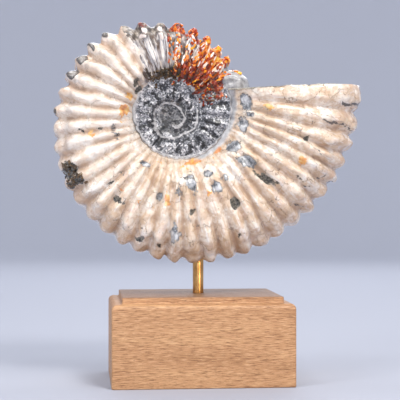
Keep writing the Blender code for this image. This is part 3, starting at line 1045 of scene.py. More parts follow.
def crystal_faces(rng, middle, along, outward, length, width):
    """One small crystal, long one way with a tip at each end, that stands out of the stone."""
    sideways = along.cross(outward).normalized()
    sides = rng.choice(CRYSTAL_SIDES)
    spin = rng.uniform(0.0, 2 * math.pi)
    points, faces = [middle - along * length / 2], []
    for place, thickness in zip(CRYSTAL_RINGS, (1.0, rng.uniform(*CRYSTAL_TAPER))):
        for side in range(sides):
            a = spin + 2 * math.pi * side / sides
            flat = outward * math.sin(a) * width / 2 * CRYSTAL_FLATNESS
            off = sideways * math.cos(a) * width / 2 + flat
            corner = middle + along * length * place
            points.append(corner + off * thickness * rng.uniform(*CRYSTAL_UNEVENNESS))
    points.append(middle + along * length / 2)
    for side in range(sides):
        following = (side + 1) % sides
        low, low_next = 1 + side, 1 + following
        faces.append([0, low_next, low])
        faces.append([low, low_next, low_next + sides, low + sides])
        faces.append([low + sides, low_next + sides, 2 * sides + 1])
    return points, faces


def grow_crystal(rng, flank, kind, number):
    """The points and faces of one crystal of this kind, where it grows on a flank."""
    _, angles, reaches, amount, lengths, widths, turn, _ = kind
    points, normals, point_angles, point_reaches = flank
    angle = angles[0] + (angles[1] - angles[0]) * (number + rng.random()) / amount
    reach = reaches[0] + (reaches[1] - reaches[0]) * ((number * GOLDEN) % 1.0)
    off = np.hypot(np.radians(point_angles - angle) * reach, point_reaches - reach)
    nearest = int(np.argmin(off))
    outward, place = Vector(normals[nearest]), Vector(points[nearest])
    radial = place - Vector((CENTRE_X, place.y, CENTRE_Z))
    along = (radial - outward * radial.dot(outward)).normalized()
    along = Matrix.Rotation(math.radians(rng.uniform(-turn, turn)), 3, outward) @ along
    along = (along + outward * rng.uniform(*CRYSTAL_TILT)).normalized()
    length, width = rng.uniform(*lengths) * MM, rng.uniform(*widths) * MM
    return crystal_faces(rng, place, along, outward, length, width)


def make_crystals(fossil):
    """All the loose crystals as one piece. Each has its colour as one number, kept on its points."""
    rng = random.Random(CRYSTAL_SEED)
    points, faces, tints = [], [], []
    on_front = (fossil.points[:, 1] < 0.0) & ~fossil.on_mouth
    for front in (True, False):
        chosen = np.flatnonzero(on_front == front)
        flank = [part[chosen] for part in (fossil.points, fossil.normals, fossil.angle, fossil.reach)]
        for kind in CRYSTALS:
            for number in range(kind[3]):
                corners, sides = grow_crystal(rng, flank, kind, number)
                faces += [[len(points) + corner for corner in side] for side in sides]
                points += [tuple(corner) for corner in corners]
                tints += [rng.uniform(*kind[-1])] * len(corners)
    mesh = bpy.data.meshes.new("loose_crystals")
    mesh.from_pydata(held_inside(np.array(points)).tolist(), [], faces)
    mesh.attributes.new("tint", "FLOAT", "POINT").data.foreach_set("value", tints)
    piece = finish_mesh("loose_crystals", mesh)
    mesh.shade_flat()
    return piece


# The oak block: its body and the low tier on it, and the rod that stands in it
BLOCK_WIDTH = 0.105
BLOCK_DEPTH = 0.080
BODY_HEIGHT = 0.0476
SHOULDER_RADIUS = 0.0030
BLOCK_HEIGHT = 0.0513
TIER_INSET = 0.0062
TIER_EDGE_RADIUS = 0.0006
COVE_RADIUS = 0.0010
FOOT_BEVEL = 0.0005
UPRIGHT_EDGE_RADIUS = 0.0010
CORNER_STEPS = 8
SIDE_STEPS = 12
TOP_RINGS = (0.4, 0.8)
ROD_RADIUS = 0.0032
ROD_BOTTOM = 0.0263
ROD_TOP = 0.0840
ROD_END_ROUND = 0.0005
ROD_SIDES = 64
SOCKET_GAP = 0.0003
CRISP_EDGE = 35


def round_corner(centre, radius, start, end, steps):
    """Points of a profile's arc as (inset, height), between two angles in degrees from straight in."""
    angles = [math.radians(start + (end - start) * step / steps) for step in range(steps + 1)]
    return [(centre[0] + radius * math.cos(a), centre[1] + radius * math.sin(a)) for a in angles]


def circle(radius, height, sides):
    """A level loop of points round the upright axis."""
    rounds = [2 * math.pi * side / sides for side in range(sides)]
    return [Vector((radius * math.cos(a), radius * math.sin(a), height)) for a in rounds]


def block_loop(inset, height):
    """One level of the block's outline: a rectangle with slightly rounded upright edges."""
    half_x = BLOCK_WIDTH / 2 - inset - UPRIGHT_EDGE_RADIUS
    half_y = BLOCK_DEPTH / 2 - inset - UPRIGHT_EDGE_RADIUS
    corners = []
    for quarter, (side_x, side_y) in enumerate(((1, 1), (-1, 1), (-1, -1), (1, -1))):
        centre = (side_x * half_x, side_y * half_y)
        arc = round_corner(centre, UPRIGHT_EDGE_RADIUS, 90 * quarter, 90 * (quarter + 1), CORNER_STEPS)
        corners.append([Vector((x, y, height)) for x, y in arc])
    loop = []
    for corner, following in zip(corners, corners[1:] + corners[:1]):
        side = [corner[-1].lerp(following[0], step / SIDE_STEPS) for step in range(1, SIDE_STEPS)]
        loop += corner + side
    return loop


def loop_faces(loops, amount):
    """Four-sided faces between loops of this many points that follow each other."""
    faces = []
    for level in range(loops - 1):
        low, high = level * amount, (level + 1) * amount
        for i in range(amount):
            j = (i + 1) % amount
            faces.append([low + i, low + j, high + j, high + i])
    return faces


def loft(name, loops):
    """A closed solid through these loops of equally many points, with a flat cap at each end."""
    amount = len(loops[0])
    points = [tuple(point) for loop in loops for point in loop]
    caps = [list(range(amount))[::-1], [len(points) - amount + i for i in range(amount)]]
    mesh = bpy.data.meshes.new(name)
    mesh.from_pydata(points, [], caps + loop_faces(len(loops), amount))
    return finish_mesh(name, mesh)


def make_block():
    """The oak block, with the rod's socket in its top."""
    profile = [(FOOT_BEVEL, 0.0), (0.0, FOOT_BEVEL)]
    shoulder = (SHOULDER_RADIUS, BODY_HEIGHT - SHOULDER_RADIUS)
    profile += round_corner(shoulder, SHOULDER_RADIUS, 180, 90, 8)
    profile += round_corner((TIER_INSET - COVE_RADIUS, BODY_HEIGHT + COVE_RADIUS), COVE_RADIUS, -90, 0, 6)
    edge = (TIER_INSET + TIER_EDGE_RADIUS, BLOCK_HEIGHT - TIER_EDGE_RADIUS)
    profile += round_corner(edge, TIER_EDGE_RADIUS, 180, 90, 4)
    loops = [block_loop(inset, height) for inset, height in profile]
    top = loops[-1]
    socket = ROD_RADIUS + SOCKET_GAP
    rim = [Vector((socket * p.x / p.xy.length, socket * p.y / p.xy.length, BLOCK_HEIGHT)) for p in top]
    for share in TOP_RINGS:
        loops.append([point.lerp(centre, share) for point, centre in zip(top, rim)])
    loops.append(rim)
    loops.append([Vector((point.x, point.y, ROD_BOTTOM - SOCKET_GAP)) for point in rim])
    return loft("oak_block", loops)


def make_rod():
    """The brass rod, with its ends a little rounded."""
    inner = ROD_RADIUS - ROD_END_ROUND
    lower = round_corner((inner, ROD_BOTTOM + ROD_END_ROUND), ROD_END_ROUND, -90, 0, 4)
    upper = round_corner((inner, ROD_TOP - ROD_END_ROUND), ROD_END_ROUND, 0, 90, 4)
    return loft("brass_rod", [circle(radius, height, ROD_SIDES) for radius, height in lower + upper])


def sharpen(piece, degrees):
    """Keeps the piece's edges crisp where its faces meet at more than this many degrees."""
    shape = bmesh.new()
    shape.from_mesh(piece.data)
    for edge in shape.edges:
        edge.smooth = len(edge.link_faces) == 2 and edge.calc_face_angle(0.0) < math.radians(degrees)
    shape.to_mesh(piece.data)
    shape.free()


def add(tree, kind, inputs=None, **settings):
    """Adds a node, sets it up, and links or sets the inputs that are named."""
    node = tree.nodes.new(kind)
    for name, value in settings.items():
        setattr(node, name, value)
    for name, value in (inputs or {}).items():
        socket = node.inputs[name]
        if isinstance(value, bpy.types.NodeSocket):
            tree.links.new(value, socket)
        else:
            socket.default_value = value
    return node


def new_material(name, finish):
    """A material with its shader's plain values set. Returns the material, its nodes and its shader."""
    material = bpy.data.materials.new(name)
    material.use_nodes = True
    tree = material.node_tree
    tree.nodes.clear()
    shader = add(tree, "ShaderNodeBsdfPrincipled", finish)
    add(tree, "ShaderNodeOutputMaterial", {"Surface": shader.outputs["BSDF"]})
    return material, tree, shader


def paint(red, green, blue):
    """A colour as it is seen, from 0 to 255, as the values that Blender works with."""
    linear = [(v / 255 / 12.92 if v < 11 else ((v / 255 + 0.055) / 1.055) ** 2.4) for v in (red, green, blue)]
    return (*linear, 1.0)


def value_of(tree, operation, *values, clamp=False):
    """The result of a sum on numbers or sockets."""
    inputs = dict(enumerate(values))
    return add(tree, "ShaderNodeMath", inputs, operation=operation, use_clamp=clamp).outputs["Value"]


def times(tree, one, other, clamp=False):
    """One value times another."""
    return value_of(tree, "MULTIPLY", one, other, clamp=clamp)


def times_plus(tree, one, other, added):
    """One value times another, plus a third."""
    return value_of(tree, "MULTIPLY_ADD", one, other, added)


def spread(tree, value, low, high, to_low=0.0, to_high=1.0):
    """Maps a value from one range to another and holds it there."""
    ends = {"From Min": low, "From Max": high, "To Min": to_low, "To Max": to_high}
    node = add(tree, "ShaderNodeMapRange", {"Value": value, **ends}, interpolation_type="SMOOTHSTEP")
    return node.outputs["Result"]


def layer(tree, mask, under, over):
    """One colour laid over another where the mask says so."""
    return add(tree, "ShaderNodeMix", {0: mask, 6: under, 7: over}, data_type="RGBA").outputs[2]


def shades(tree, value, *stops):
    """A run of colours along a value, each at its place from 0 to 1."""
    node = add(tree, "ShaderNodeValToRGB", {"Fac": value})
    ramp = node.color_ramp
    while len(ramp.elements) < len(stops):
        ramp.elements.new(0.5)
    for element, (place, colour) in zip(ramp.elements, stops):
        element.position = place
        element.color = colour
    return node.outputs["Color"]


def grain(tree, place, size, detail=2.0, rough=0.55, stretch=None):
    """Noise from 0 to 1 with features of this size in mm, and longer where stretched."""
    if stretch:
        sizes = [1.0 / part for part in stretch]
        place = add(tree, "ShaderNodeVectorMath", {0: place, 1: sizes}, operation="MULTIPLY").outputs[0]
    inputs = {"Vector": place, "Scale": 1.0 / size, "Detail": detail, "Roughness": rough}
    return add(tree, "ShaderNodeTexNoise", inputs).outputs["Fac"]


def moved(tree, place, way):
    """The same places moved this way in mm, where the noise runs differently."""
    return add(tree, "ShaderNodeVectorMath", {0: place, 1: way}, operation="ADD").outputs[0]


def scaled(tree, place, scale):
    """The same places at another scale."""
    return add(tree, "ShaderNodeVectorMath", {0: place, "Scale": scale}, operation="SCALE").outputs[0]


def warped(tree, place, scale, detail, push):
    """The same places pushed about by noise, which bends the outlines of cells."""
    inputs = {"Vector": place, "Scale": scale, "Detail": detail}
    wander = add(tree, "ShaderNodeTexNoise", inputs).outputs["Color"]
    inputs = {0: wander, 1: (push, push, push), 2: place}
    return add(tree, "ShaderNodeVectorMath", inputs, operation="MULTIPLY_ADD").outputs[0]


def crystals_in(tree, place, size, feature="F1"):
    """Cells of this size in mm: each place's distance from its cell's middle or edge, and its colour."""
    node = add(tree, "ShaderNodeTexVoronoi", {"Vector": place, "Scale": 1.0 / size}, feature=feature)
    return node.outputs["Distance"], node.outputs.get("Color")


def mark(tree, name, output="Fac"):
    """One of the marks kept on the mesh's points."""
    return add(tree, "ShaderNodeAttribute", attribute_name=name).outputs[output]


def place_in_mm(tree):
    """Each point's place on the piece, in mm."""
    return scaled(tree, add(tree, "ShaderNodeTexCoord").outputs["Object"], 1.0 / MM)


# The node groups that the materials share, by name
GROUPS = {}


def new_group(name, inputs, outputs):
    """A node group with these named inputs and outputs. Returns its nodes, its inputs and a way to end it."""
    tree = bpy.data.node_groups.new(name, "ShaderNodeTree")
    for title, kind, *value in inputs:
        socket = tree.interface.new_socket(title, in_out="INPUT", socket_type="NodeSocket" + kind)
        if value:
            socket.default_value = value[0]
    for title, kind in outputs:
        tree.interface.new_socket(title, in_out="OUTPUT", socket_type="NodeSocket" + kind)
    entry = add(tree, "NodeGroupInput")
    GROUPS[name] = tree

    def finish(**results):
        """Puts out the group's results, each under its name."""
        add(tree, "NodeGroupOutput", results)

    return tree, entry.outputs, finish


def use_group(tree, name, inputs):
    """Places one of the node groups in a material with its own values, and returns its outputs."""
    return add(tree, "ShaderNodeGroup", inputs, node_tree=GROUPS[name]).outputs


def ragged_mark(tree, place, name, raggedness, softness):
    """The mask of one kind of marked patch, with a ragged edge."""
    inputs = {"Place": place, "Depth": mark(tree, name), "Raggedness": raggedness, "Softness": softness}
    return use_group(tree, "Ragged edge", inputs)["Mask"]


# The noise that makes the edges ragged: the size of its features and how far it reaches, in mm
RAGGED_SIZE = 2.2
RAGGED_REACH = 4.0


def group_ragged_edge():
    """Turns a patch's depth into a mask with a ragged, more or less soft edge."""
    depth_and_edge = (("Depth", "Float"), ("Raggedness", "Float", 0.5), ("Softness", "Float", 0.2))
    inputs = (("Place", "Vector"), *depth_and_edge)
    tree, given, finish = new_group("Ragged edge", inputs, (("Mask", "Float"),))
    uneven = value_of(tree, "SUBTRACT", grain(tree, given["Place"], RAGGED_SIZE, 3.0, 0.7), 0.5)
    uneven = times(tree, uneven, given["Raggedness"])
    depth = times_plus(tree, uneven, RAGGED_REACH, given["Depth"])
    mask = value_of(tree, "DIVIDE", depth, given["Softness"])
    finish(Mask=spread(tree, mask, -1.0, 1.0))


def group_sugary_crystal():
    """Small crystals packed like sugar: lights and darks, and their height."""
    inputs = (("Place", "Vector"), ("Size", "Float", 1.2))
    outputs = (("Level", "Float"), ("Height", "Float"))
    tree, given, finish = new_group("Sugary crystal", inputs, outputs)
    scale = value_of(tree, "DIVIDE", 1.0, given["Size"])
    place = warped(tree, scaled(tree, given["Place"], scale), 1.5, 2.0, 0.9)
    distance, colour = crystals_in(tree, place, 1.0)
    red = add(tree, "ShaderNodeSeparateColor", {"Color": colour}).outputs["Red"]
    fine, _ = crystals_in(tree, place, 0.35)
    level = times_plus(tree, fine, 0.35, times(tree, red, 0.75))
    height = value_of(tree, "SUBTRACT", red, distance)
    finish(Level=level, Height=height)


# Where the noises of the lilac and the green clouds are read, in mm from the place itself
LILAC_WAY = (37.0, 11.0, 5.0)
GREEN_WAY = (5.0, 61.0, 23.0)


def nacre_tints(tree, place, clouds):
    """The clouds of cream and white, with pink, lilac and green in them."""
    colour = shades(
        tree,
        clouds,
        (0.36, paint(212, 184, 154)),
        (0.46, paint(228, 207, 184)),
        (0.55, paint(239, 225, 208)),
        (0.66, paint(248, 242, 233)),
    )
    pink = spread(tree, grain(tree, place, 8.0, 2.0), 0.52, 0.72, 0.0, 0.34)
    colour = layer(tree, pink, colour, paint(238, 206, 192))
    lilac = spread(tree, grain(tree, moved(tree, place, LILAC_WAY), 6.0, 3.0), 0.58, 0.72, 0.0, 0.3)
    colour = layer(tree, lilac, colour, paint(204, 198, 212))
    green = spread(tree, grain(tree, moved(tree, place, GREEN_WAY), 5.0, 3.0), 0.6, 0.75, 0.0, 0.4)
    colour = layer(tree, green, colour, paint(206, 212, 184))
    return colour


def worn_patches(tree, place, colour):
    """Tan patches with a brown edge, where the top layer has worn off. Returns their mask too."""
    flakes = grain(tree, place, 4.8, 5.0, 0.66)
    worn = spread(tree, flakes, 0.535, 0.56, 0.0, 0.6)
    colour = layer(tree, worn, colour, paint(216, 186, 156))
    off_edge = value_of(tree, "ABSOLUTE", value_of(tree, "SUBTRACT", flakes, 0.548))
    outline = spread(tree, off_edge, 0.010, 0.003, 0.0, 0.4)
    colour = layer(tree, outline, colour, paint(156, 114, 82))
    return colour, worn


def few_specks(tree, place):
    """The mask of the small brown specks, which come in swarms."""
    specks, _ = crystals_in(tree, place, 2.1)
    few = spread(tree, grain(tree, place, 9.0, 2.0), 0.52, 0.62)
    speck = times(tree, spread(tree, specks, 0.17, 0.09), few)
    return speck


def hair_cracks(tree, place, streaks):
    """The mask of the hair-fine cracks in the polish."""
    bent = warped(tree, place, 0.16, 4.0, 9.0)
    edge, _ = crystals_in(tree, bent, 21.0, "DISTANCE_TO_EDGE")
    hair = times(tree, spread(tree, edge, 0.010, 0.004), spread(tree, streaks, 0.42, 0.5))
    return hair


def group_nacre():
    """The pearly shell's colours: cream and white, worn tan patches with brown edges, painted warm shade in
    the grooves.
    """
    inputs = (("Place", "Vector"), ("Laid", "Vector"), ("Groove", "Float"), ("Warmth", "Float", 0.5))
    tree, given, finish = new_group("Nacre", inputs, (("Colour", "Color"), ("Height", "Float")))
    place, laid = given["Place"], given["Laid"]
    clouds = grain(tree, place, 11.0, 4.0, 0.62)
    colour = nacre_tints(tree, place, clouds)
    colour, worn = worn_patches(tree, place, colour)
    streaks = grain(tree, laid, 1.1, 4.0, 0.68, stretch=(1.0, 9.0, 1.0))
    pale = spread(tree, streaks, 0.55, 0.68, 0.0, 0.7)
    colour = layer(tree, pale, colour, paint(250, 246, 242))
    tan = spread(tree, streaks, 0.45, 0.32, 0.0, 0.55)
    colour = layer(tree, tan, colour, paint(206, 168, 132))
    # Painted shade: a warm brownish tan that darkens the grooves between the ribs.
    groove_shade = times(tree, value_of(tree, "POWER", given["Groove"], 2.0), given["Warmth"])
    groove_shade = times(tree, groove_shade, spread(tree, clouds, 0.62, 0.38, 0.4, 1.3), clamp=True)
    colour = layer(tree, groove_shade, colour, paint(178, 144, 116))
    speck = few_specks(tree, place)
    colour = layer(tree, times(tree, speck, 0.75), colour, paint(104, 78, 60))
    hair = hair_cracks(tree, place, streaks)
    colour = layer(tree, times(tree, hair, 0.6), colour, paint(128, 98, 76))
    lines = grain(tree, laid, 0.42, 2.0, 0.5, stretch=(1.0, 30.0, 1.0))
    fine = grain(tree, place, 1.6, 4.0, 0.7)
    height = times_plus(tree, lines, 0.9, times(tree, fine, 2.4))
    height = times_plus(tree, streaks, 2.2, height)
    height = times_plus(tree, grain(tree, place, 3.4, 2.0), 3.0, height)
    height = value_of(tree, "SUBTRACT", height, value_of(tree, "ADD", speck, hair))
    finish(Colour=colour, Height=times_plus(tree, worn, -0.5, height))


def group_grey_calcite():
    """Grey calcite that shows where the shell is gone: cloudy glassy greys with small white glints."""
    outputs = (("Colour", "Color"), ("Height", "Float"))
    tree, given, finish = new_group("Grey calcite", (("Place", "Vector"),), outputs)
    clouds = grain(tree, given["Place"], 3.4, 4.0, 0.5)
    colour = shades(
        tree,
        clouds,
        (0.36, paint(76, 80, 86)),
        (0.45, paint(124, 128, 132)),
        (0.53, paint(162, 164, 168)),
        (0.62, paint(204, 206, 208)),
    )
    glints = grain(tree, given["Place"], 0.8, 2.0, 0.5)
    colour = layer(tree, spread(tree, glints, 0.58, 0.68, 0.0, 0.45), colour, paint(238, 240, 242))
    colour = layer(tree, spread(tree, glints, 0.40, 0.30, 0.0, 0.25), colour, paint(92, 92, 96))
    finish(Colour=colour, Height=times_plus(tree, glints, 0.6, clouds))


def group_amber():
    """Amber crystals: deep red, orange and honey yellow, each cell its own."""
    inputs = (("Place", "Vector"), ("Size", "Float", 1.6), ("Brightness", "Float", 0.5))
    tree, given, finish = new_group("Amber", inputs, (("Colour", "Color"), ("Height", "Float")))
    sugar = use_group(tree, "Sugary crystal", {"Place": given["Place"], "Size": given["Size"]})
    level = value_of(tree, "ADD", sugar["Level"], value_of(tree, "SUBTRACT", given["Brightness"], 0.5))
    colour = shades(
        tree,
        level,
        (0.12, paint(78, 10, 2)),
        (0.34, paint(154, 38, 2)),
        (0.52, paint(210, 84, 2)),
        (0.70, paint(240, 142, 8)),
        (0.90, paint(252, 194, 70)),
    )
    finish(Colour=colour, Height=sugar["Height"])


def bumped(tree, height, distance, strength=1.0):
    """The normal of a surface with this height, in units of this distance in metres."""
    inputs = {"Height": height, "Distance": distance, "Strength": strength}
    return add(tree, "ShaderNodeBump", inputs).outputs["Normal"]


# The roughness of the polished shell, and how much rougher its pits and cracks are
POLISHED = 0.26
ROUGHER_PITS = 0.35


def stained_nacre(tree, place, groove, colour):
    """The nacre with painted pale light on the older shell's crests, stained like honey in patches and tanned
    on the tips.
    """
    # Painted light: the crests of the older shell lightened, the grooves left darker.
    painted_pale_light = times(tree, mark(tree, "paler"), spread(tree, groove, 0.9, 0.1, 0.05, 0.36))
    colour = layer(tree, painted_pale_light, colour, paint(248, 244, 240))
    honey = shades(
        tree,
        grain(tree, place, 4.0, 2.0),
        (0.38, paint(222, 132, 52)),
        (0.52, paint(240, 172, 70)),
        (0.66, paint(246, 206, 128)),
    )
    stain = ragged_mark(tree, place, "amber", 1.4, 0.25)
    colour = layer(tree, times(tree, stain, 0.85), colour, honey)
    blotches = spread(tree, grain(tree, place, 7.0, 4.0, 0.6), 0.42, 0.62, 0.1, 0.62)
    tanned = times(tree, mark(tree, "tip"), blotches)
    colour = layer(tree, tanned, colour, paint(196, 158, 126))
    return colour


def silver_over(tree, place, sugar, colour):
    """The polished silver-grey stone that shows on some of the knobs, with painted shading paler towards each
    knob's middle.
    """
    silver = ragged_mark(tree, place, "silver", 0.4, 0.3)
    # Partly real and partly painted: dark silver-grey at a knob's outline, a painted highlight paler towards
    # its middle.
    inner = times_plus(tree, sugar["Level"], 0.3, times(tree, mark(tree, "silver"), 0.22))
    silver_and_bead_shade = shades(
        tree,
        inner,
        (0.10, paint(48, 42, 38)),
        (0.40, paint(104, 97, 92)),
        (0.85, paint(178, 172, 166)),
    )
    colour = layer(tree, silver, colour, silver_and_bead_shade)
    return colour


def pearly_shell():
    """Polished shell with grey calcite, dark pits, amber stains and cracks where they are marked."""
    finish = {"Roughness": POLISHED, "Coat Weight": 1.0, "Coat Roughness": 0.055, "IOR": 1.56}
    material, tree, shader = new_material("Pearly shell", finish)
    place, laid, groove = place_in_mm(tree), mark(tree, "laid", "Vector"), mark(tree, "groove")
    nacre = use_group(tree, "Nacre", {"Place": place, "Laid": laid, "Groove": groove, "Warmth": 0.95})
    calcite = use_group(tree, "Grey calcite", {"Place": place})
    sugar = use_group(tree, "Sugary crystal", {"Place": place, "Size": 0.9})
    grey = ragged_mark(tree, place, "grey", 1.35, 0.35)
    dark = ragged_mark(tree, place, "dark", 0.8, 0.15)
    crack = ragged_mark(tree, place, "crack", 0.4, 0.15)
    colour = stained_nacre(tree, place, groove, nacre["Colour"])
    # Painted sheen over calcite grey: the umbilical wall on the right side lightened to a pale glassy grey.
    glassy = layer(tree, 0.6, calcite["Colour"], paint(226, 226, 228))
    colour = layer(tree, mark(tree, "wall"), colour, glassy)
    # Painted shade: a dark brown line along the whorl's own seam, where the shell dips into the crease
    # against the older whorl.
    line = spread(tree, mark(tree, "seam"), 0.8, 0.3, 0.0, 0.7)
    colour = layer(tree, line, colour, paint(120, 100, 84))
    colour = layer(tree, grey, colour, calcite["Colour"])
    rim = times(tree, grey, spread(tree, mark(tree, "grey"), 0.9, 0.1, 0.0, 0.35))
    colour = layer(tree, rim, colour, paint(92, 80, 72))
    colour = silver_over(tree, place, sugar, colour)
    black = shades(tree, sugar["Level"], (0.3, paint(34, 32, 30)), (0.8, paint(122, 116, 104)))
    colour = layer(tree, dark, colour, black)
    colour = layer(tree, times(tree, crack, 0.9), colour, paint(58, 50, 46))
    tree.links.new(colour, shader.inputs["Base Color"])
    rough = times_plus(tree, value_of(tree, "MAXIMUM", dark, crack), ROUGHER_PITS, POLISHED)
    tree.links.new(rough, shader.inputs["Roughness"])
    height = times(tree, nacre["Height"], value_of(tree, "SUBTRACT", 1.0, grey))
    height = value_of(tree, "ADD", height, times(tree, grey, calcite["Height"]))
    height = value_of(tree, "ADD", height, times(tree, dark, sugar["Height"]))
    tree.links.new(bumped(tree, height, 0.00028, 1.0), shader.inputs["Normal"])
    return material


def umbilical_crystal(tree, sugar, clouds):
    """Dark sugary crystal between the inner ribs, pale lines along seams and rims, painted shade in the
    hollows.
    """
    level = times_plus(tree, sugar["Level"], 0.66, spread(tree, clouds, 0.3, 0.7, -0.14, 0.16))
    leaf = times(tree, mark(tree, "leaf"), spread(tree, clouds, 0.64, 0.44, 0.1, 1.0))
    level = times_plus(tree, spread(tree, leaf, 0.2, 0.7), -0.36, level)
    colour = shades(
        tree,
        level,
        (0.08, paint(18, 20, 26)),
        (0.22, paint(66, 70, 78)),
        (0.38, paint(128, 130, 136)),
        (0.53, paint(188, 189, 194)),
        (0.70, paint(246, 244, 244)),
    )
    # Painted shade: the deep middle of the umbilicus darkened nearly to black.
    colour = layer(tree, times(tree, mark(tree, "heart"), 0.72), colour, paint(26, 28, 33))
    coil = mark(tree, "coil")
    # Painted shade: a dark band just outside each inner seam, where the newer whorl's wall dips into the
    # crease.
    hollow = times(tree, spread(tree, coil, 0.4, 0.8), spread(tree, coil, 2.3, 1.4))
    colour = layer(tree, times(tree, hollow, 0.7), colour, paint(46, 48, 54))
    ridge = spread(tree, value_of(tree, "ABSOLUTE", coil), 0.85, 0.4)
    line = value_of(tree, "MAXIMUM", ridge, spread(tree, mark(tree, "rim"), 1.5, 0.9))
    line = times(tree, line, spread(tree, clouds, 0.3, 0.5, 0.4, 0.85))
    colour = layer(tree, line, colour, paint(196, 194, 195))
    return colour


def bare_streaks(tree, streaks, clouds, groove):
    """Pale streaks on the bare whorl's ribs, brown in its grooves and dark on its crown."""
    streak_colour = shades(
        tree,
        streaks,
        (0.37, paint(54, 38, 28)),
        (0.44, paint(116, 102, 94)),
        (0.49, paint(150, 150, 156)),
        (0.54, paint(198, 195, 196)),
        (0.62, paint(246, 236, 224)),
    )
    brown = times(tree, spread(tree, groove, 0.5, 0.95), 0.6)
    streak_colour = layer(tree, brown, streak_colour, paint(98, 74, 56))
    crown_colour = shades(
        tree,
        clouds,
        (0.36, paint(30, 24, 20)),
        (0.50, paint(82, 70, 60)),
        (0.64, paint(166, 154, 142)),
    )
    streak_colour = layer(tree, mark(tree, "crown"), streak_colour, crown_colour)
    return streak_colour


def crystal_core():
    """The bare older whorls: pale streaks, amber crystals and dark sugary crystal in the umbilicus."""
    finish = {"Roughness": 0.3, "Coat Weight": 0.5, "Coat Roughness": 0.12, "IOR": 1.54}
    material, tree, shader = new_material("Crystal core", finish)
    place, laid, groove = place_in_mm(tree), mark(tree, "laid", "Vector"), mark(tree, "groove")
    sugar = use_group(tree, "Sugary crystal", {"Place": place, "Size": 0.85})
    clouds = grain(tree, place, 3.6, 3.0, 0.6)
    colour = umbilical_crystal(tree, sugar, clouds)
    streaks = grain(tree, laid, 0.62, 3.0, 0.7, stretch=(1.0, 22.0, 1.0))
    streak_colour = bare_streaks(tree, streaks, clouds, groove)
    colour = layer(tree, mark(tree, "streaks"), colour, streak_colour)
    bright = spread(tree, mark(tree, "glow"), 0.0, 1.0, 0.3, 0.74)
    amber = use_group(tree, "Amber", {"Place": place, "Size": 1.9, "Brightness": bright})
    honey = ragged_mark(tree, place, "honey", 2.4, 0.3)
    reddest = spread(tree, mark(tree, "depth"), 0.2, 0.9, 0.25, 0.8)
    deep = layer(tree, reddest, amber["Colour"], paint(70, 10, 2))
    colour = layer(tree, honey, colour, deep)
    shadow = ragged_mark(tree, place, "shadow", 1.2, 0.6)
    brown = shades(tree, sugar["Level"], (0.3, paint(14, 11, 9)), (0.8, paint(84, 68, 46)))
    colour = layer(tree, shadow, colour, brown)
    calcite = use_group(tree, "Grey calcite", {"Place": place})
    grey = ragged_mark(tree, place, "grey", 0.8, 0.3)
    cloudy = layer(tree, 0.55, calcite["Colour"], paint(140, 136, 134))
    colour = layer(tree, grey, colour, cloudy)
    colour = layer(tree, spread(tree, mark(tree, "pearl"), -0.1, 0.5), colour, paint(238, 222, 214))
    tree.links.new(colour, shader.inputs["Base Color"])
    smooth = value_of(tree, "SUBTRACT", 1.0, value_of(tree, "MAXIMUM", grey, mark(tree, "streaks")))
    height = times(tree, sugar["Height"], smooth)
    height = value_of(tree, "ADD", height, times(tree, streaks, mark(tree, "streaks")))
    height = value_of(tree, "ADD", height, times(tree, amber["Height"], honey))
    tree.links.new(bumped(tree, height, 0.0004, 0.8), shader.inputs["Normal"])
    return material


def loose_crystal():
    """The loose crystals: brown, deep red, orange, honey yellow or white, and glassy."""
    finish = {"Roughness": 0.2, "Coat Weight": 0.3, "Coat Roughness": 0.05, "IOR": 1.46}
    material, tree, shader = new_material("Loose crystal", finish)
    colour = shades(
        tree,
        mark(tree, "tint"),
        (0.0, paint(24, 18, 14)),
        (0.24, paint(104, 80, 52)),
        (0.30, paint(80, 8, 0)),
        (0.45, paint(164, 48, 0)),
        (0.60, paint(226, 116, 2)),
        (0.78, paint(252, 182, 36)),
        (0.88, paint(222, 202, 186)),
        (1.0, paint(248, 242, 236)),
    )
    cloud = grain(tree, place_in_mm(tree), 1.2, 2.0)
    colour = layer(tree, spread(tree, cloud, 0.45, 0.75, 0.0, 0.12), colour, paint(255, 226, 190))
    tree.links.new(colour, shader.inputs["Base Color"])
    tree.links.new(bumped(tree, cloud, 0.0002, 0.5), shader.inputs["Normal"])
    return material


def mouth_stone():
    """The rough stone in the mouth: grey and tan grains."""
    material, tree, shader = new_material("Mouth stone", {"Roughness": 0.7, "IOR": 1.5})
    place = place_in_mm(tree)
    sugar = use_group(tree, "Sugary crystal", {"Place": place, "Size": 1.3})
    clouds = grain(tree, place, 7.0, 4.0, 0.65)
    level = times_plus(tree, sugar["Level"], 0.35, times(tree, clouds, 0.7))
    colour = shades(
        tree,
        level,
        (0.28, paint(92, 90, 84)),
        (0.44, paint(146, 142, 132)),
        (0.58, paint(188, 178, 160)),
        (0.74, paint(222, 212, 196)),
    )
    tree.links.new(colour, shader.inputs["Base Color"])
    height = value_of(tree, "ADD", sugar["Height"], clouds)
    tree.links.new(bumped(tree, height, 0.0006), shader.inputs["Normal"])
    return material


# From where to where, in mm above the table, the oak turns to the painted shade of its top
TOP_PAINTED_SHADE = (50.9, 51.25)


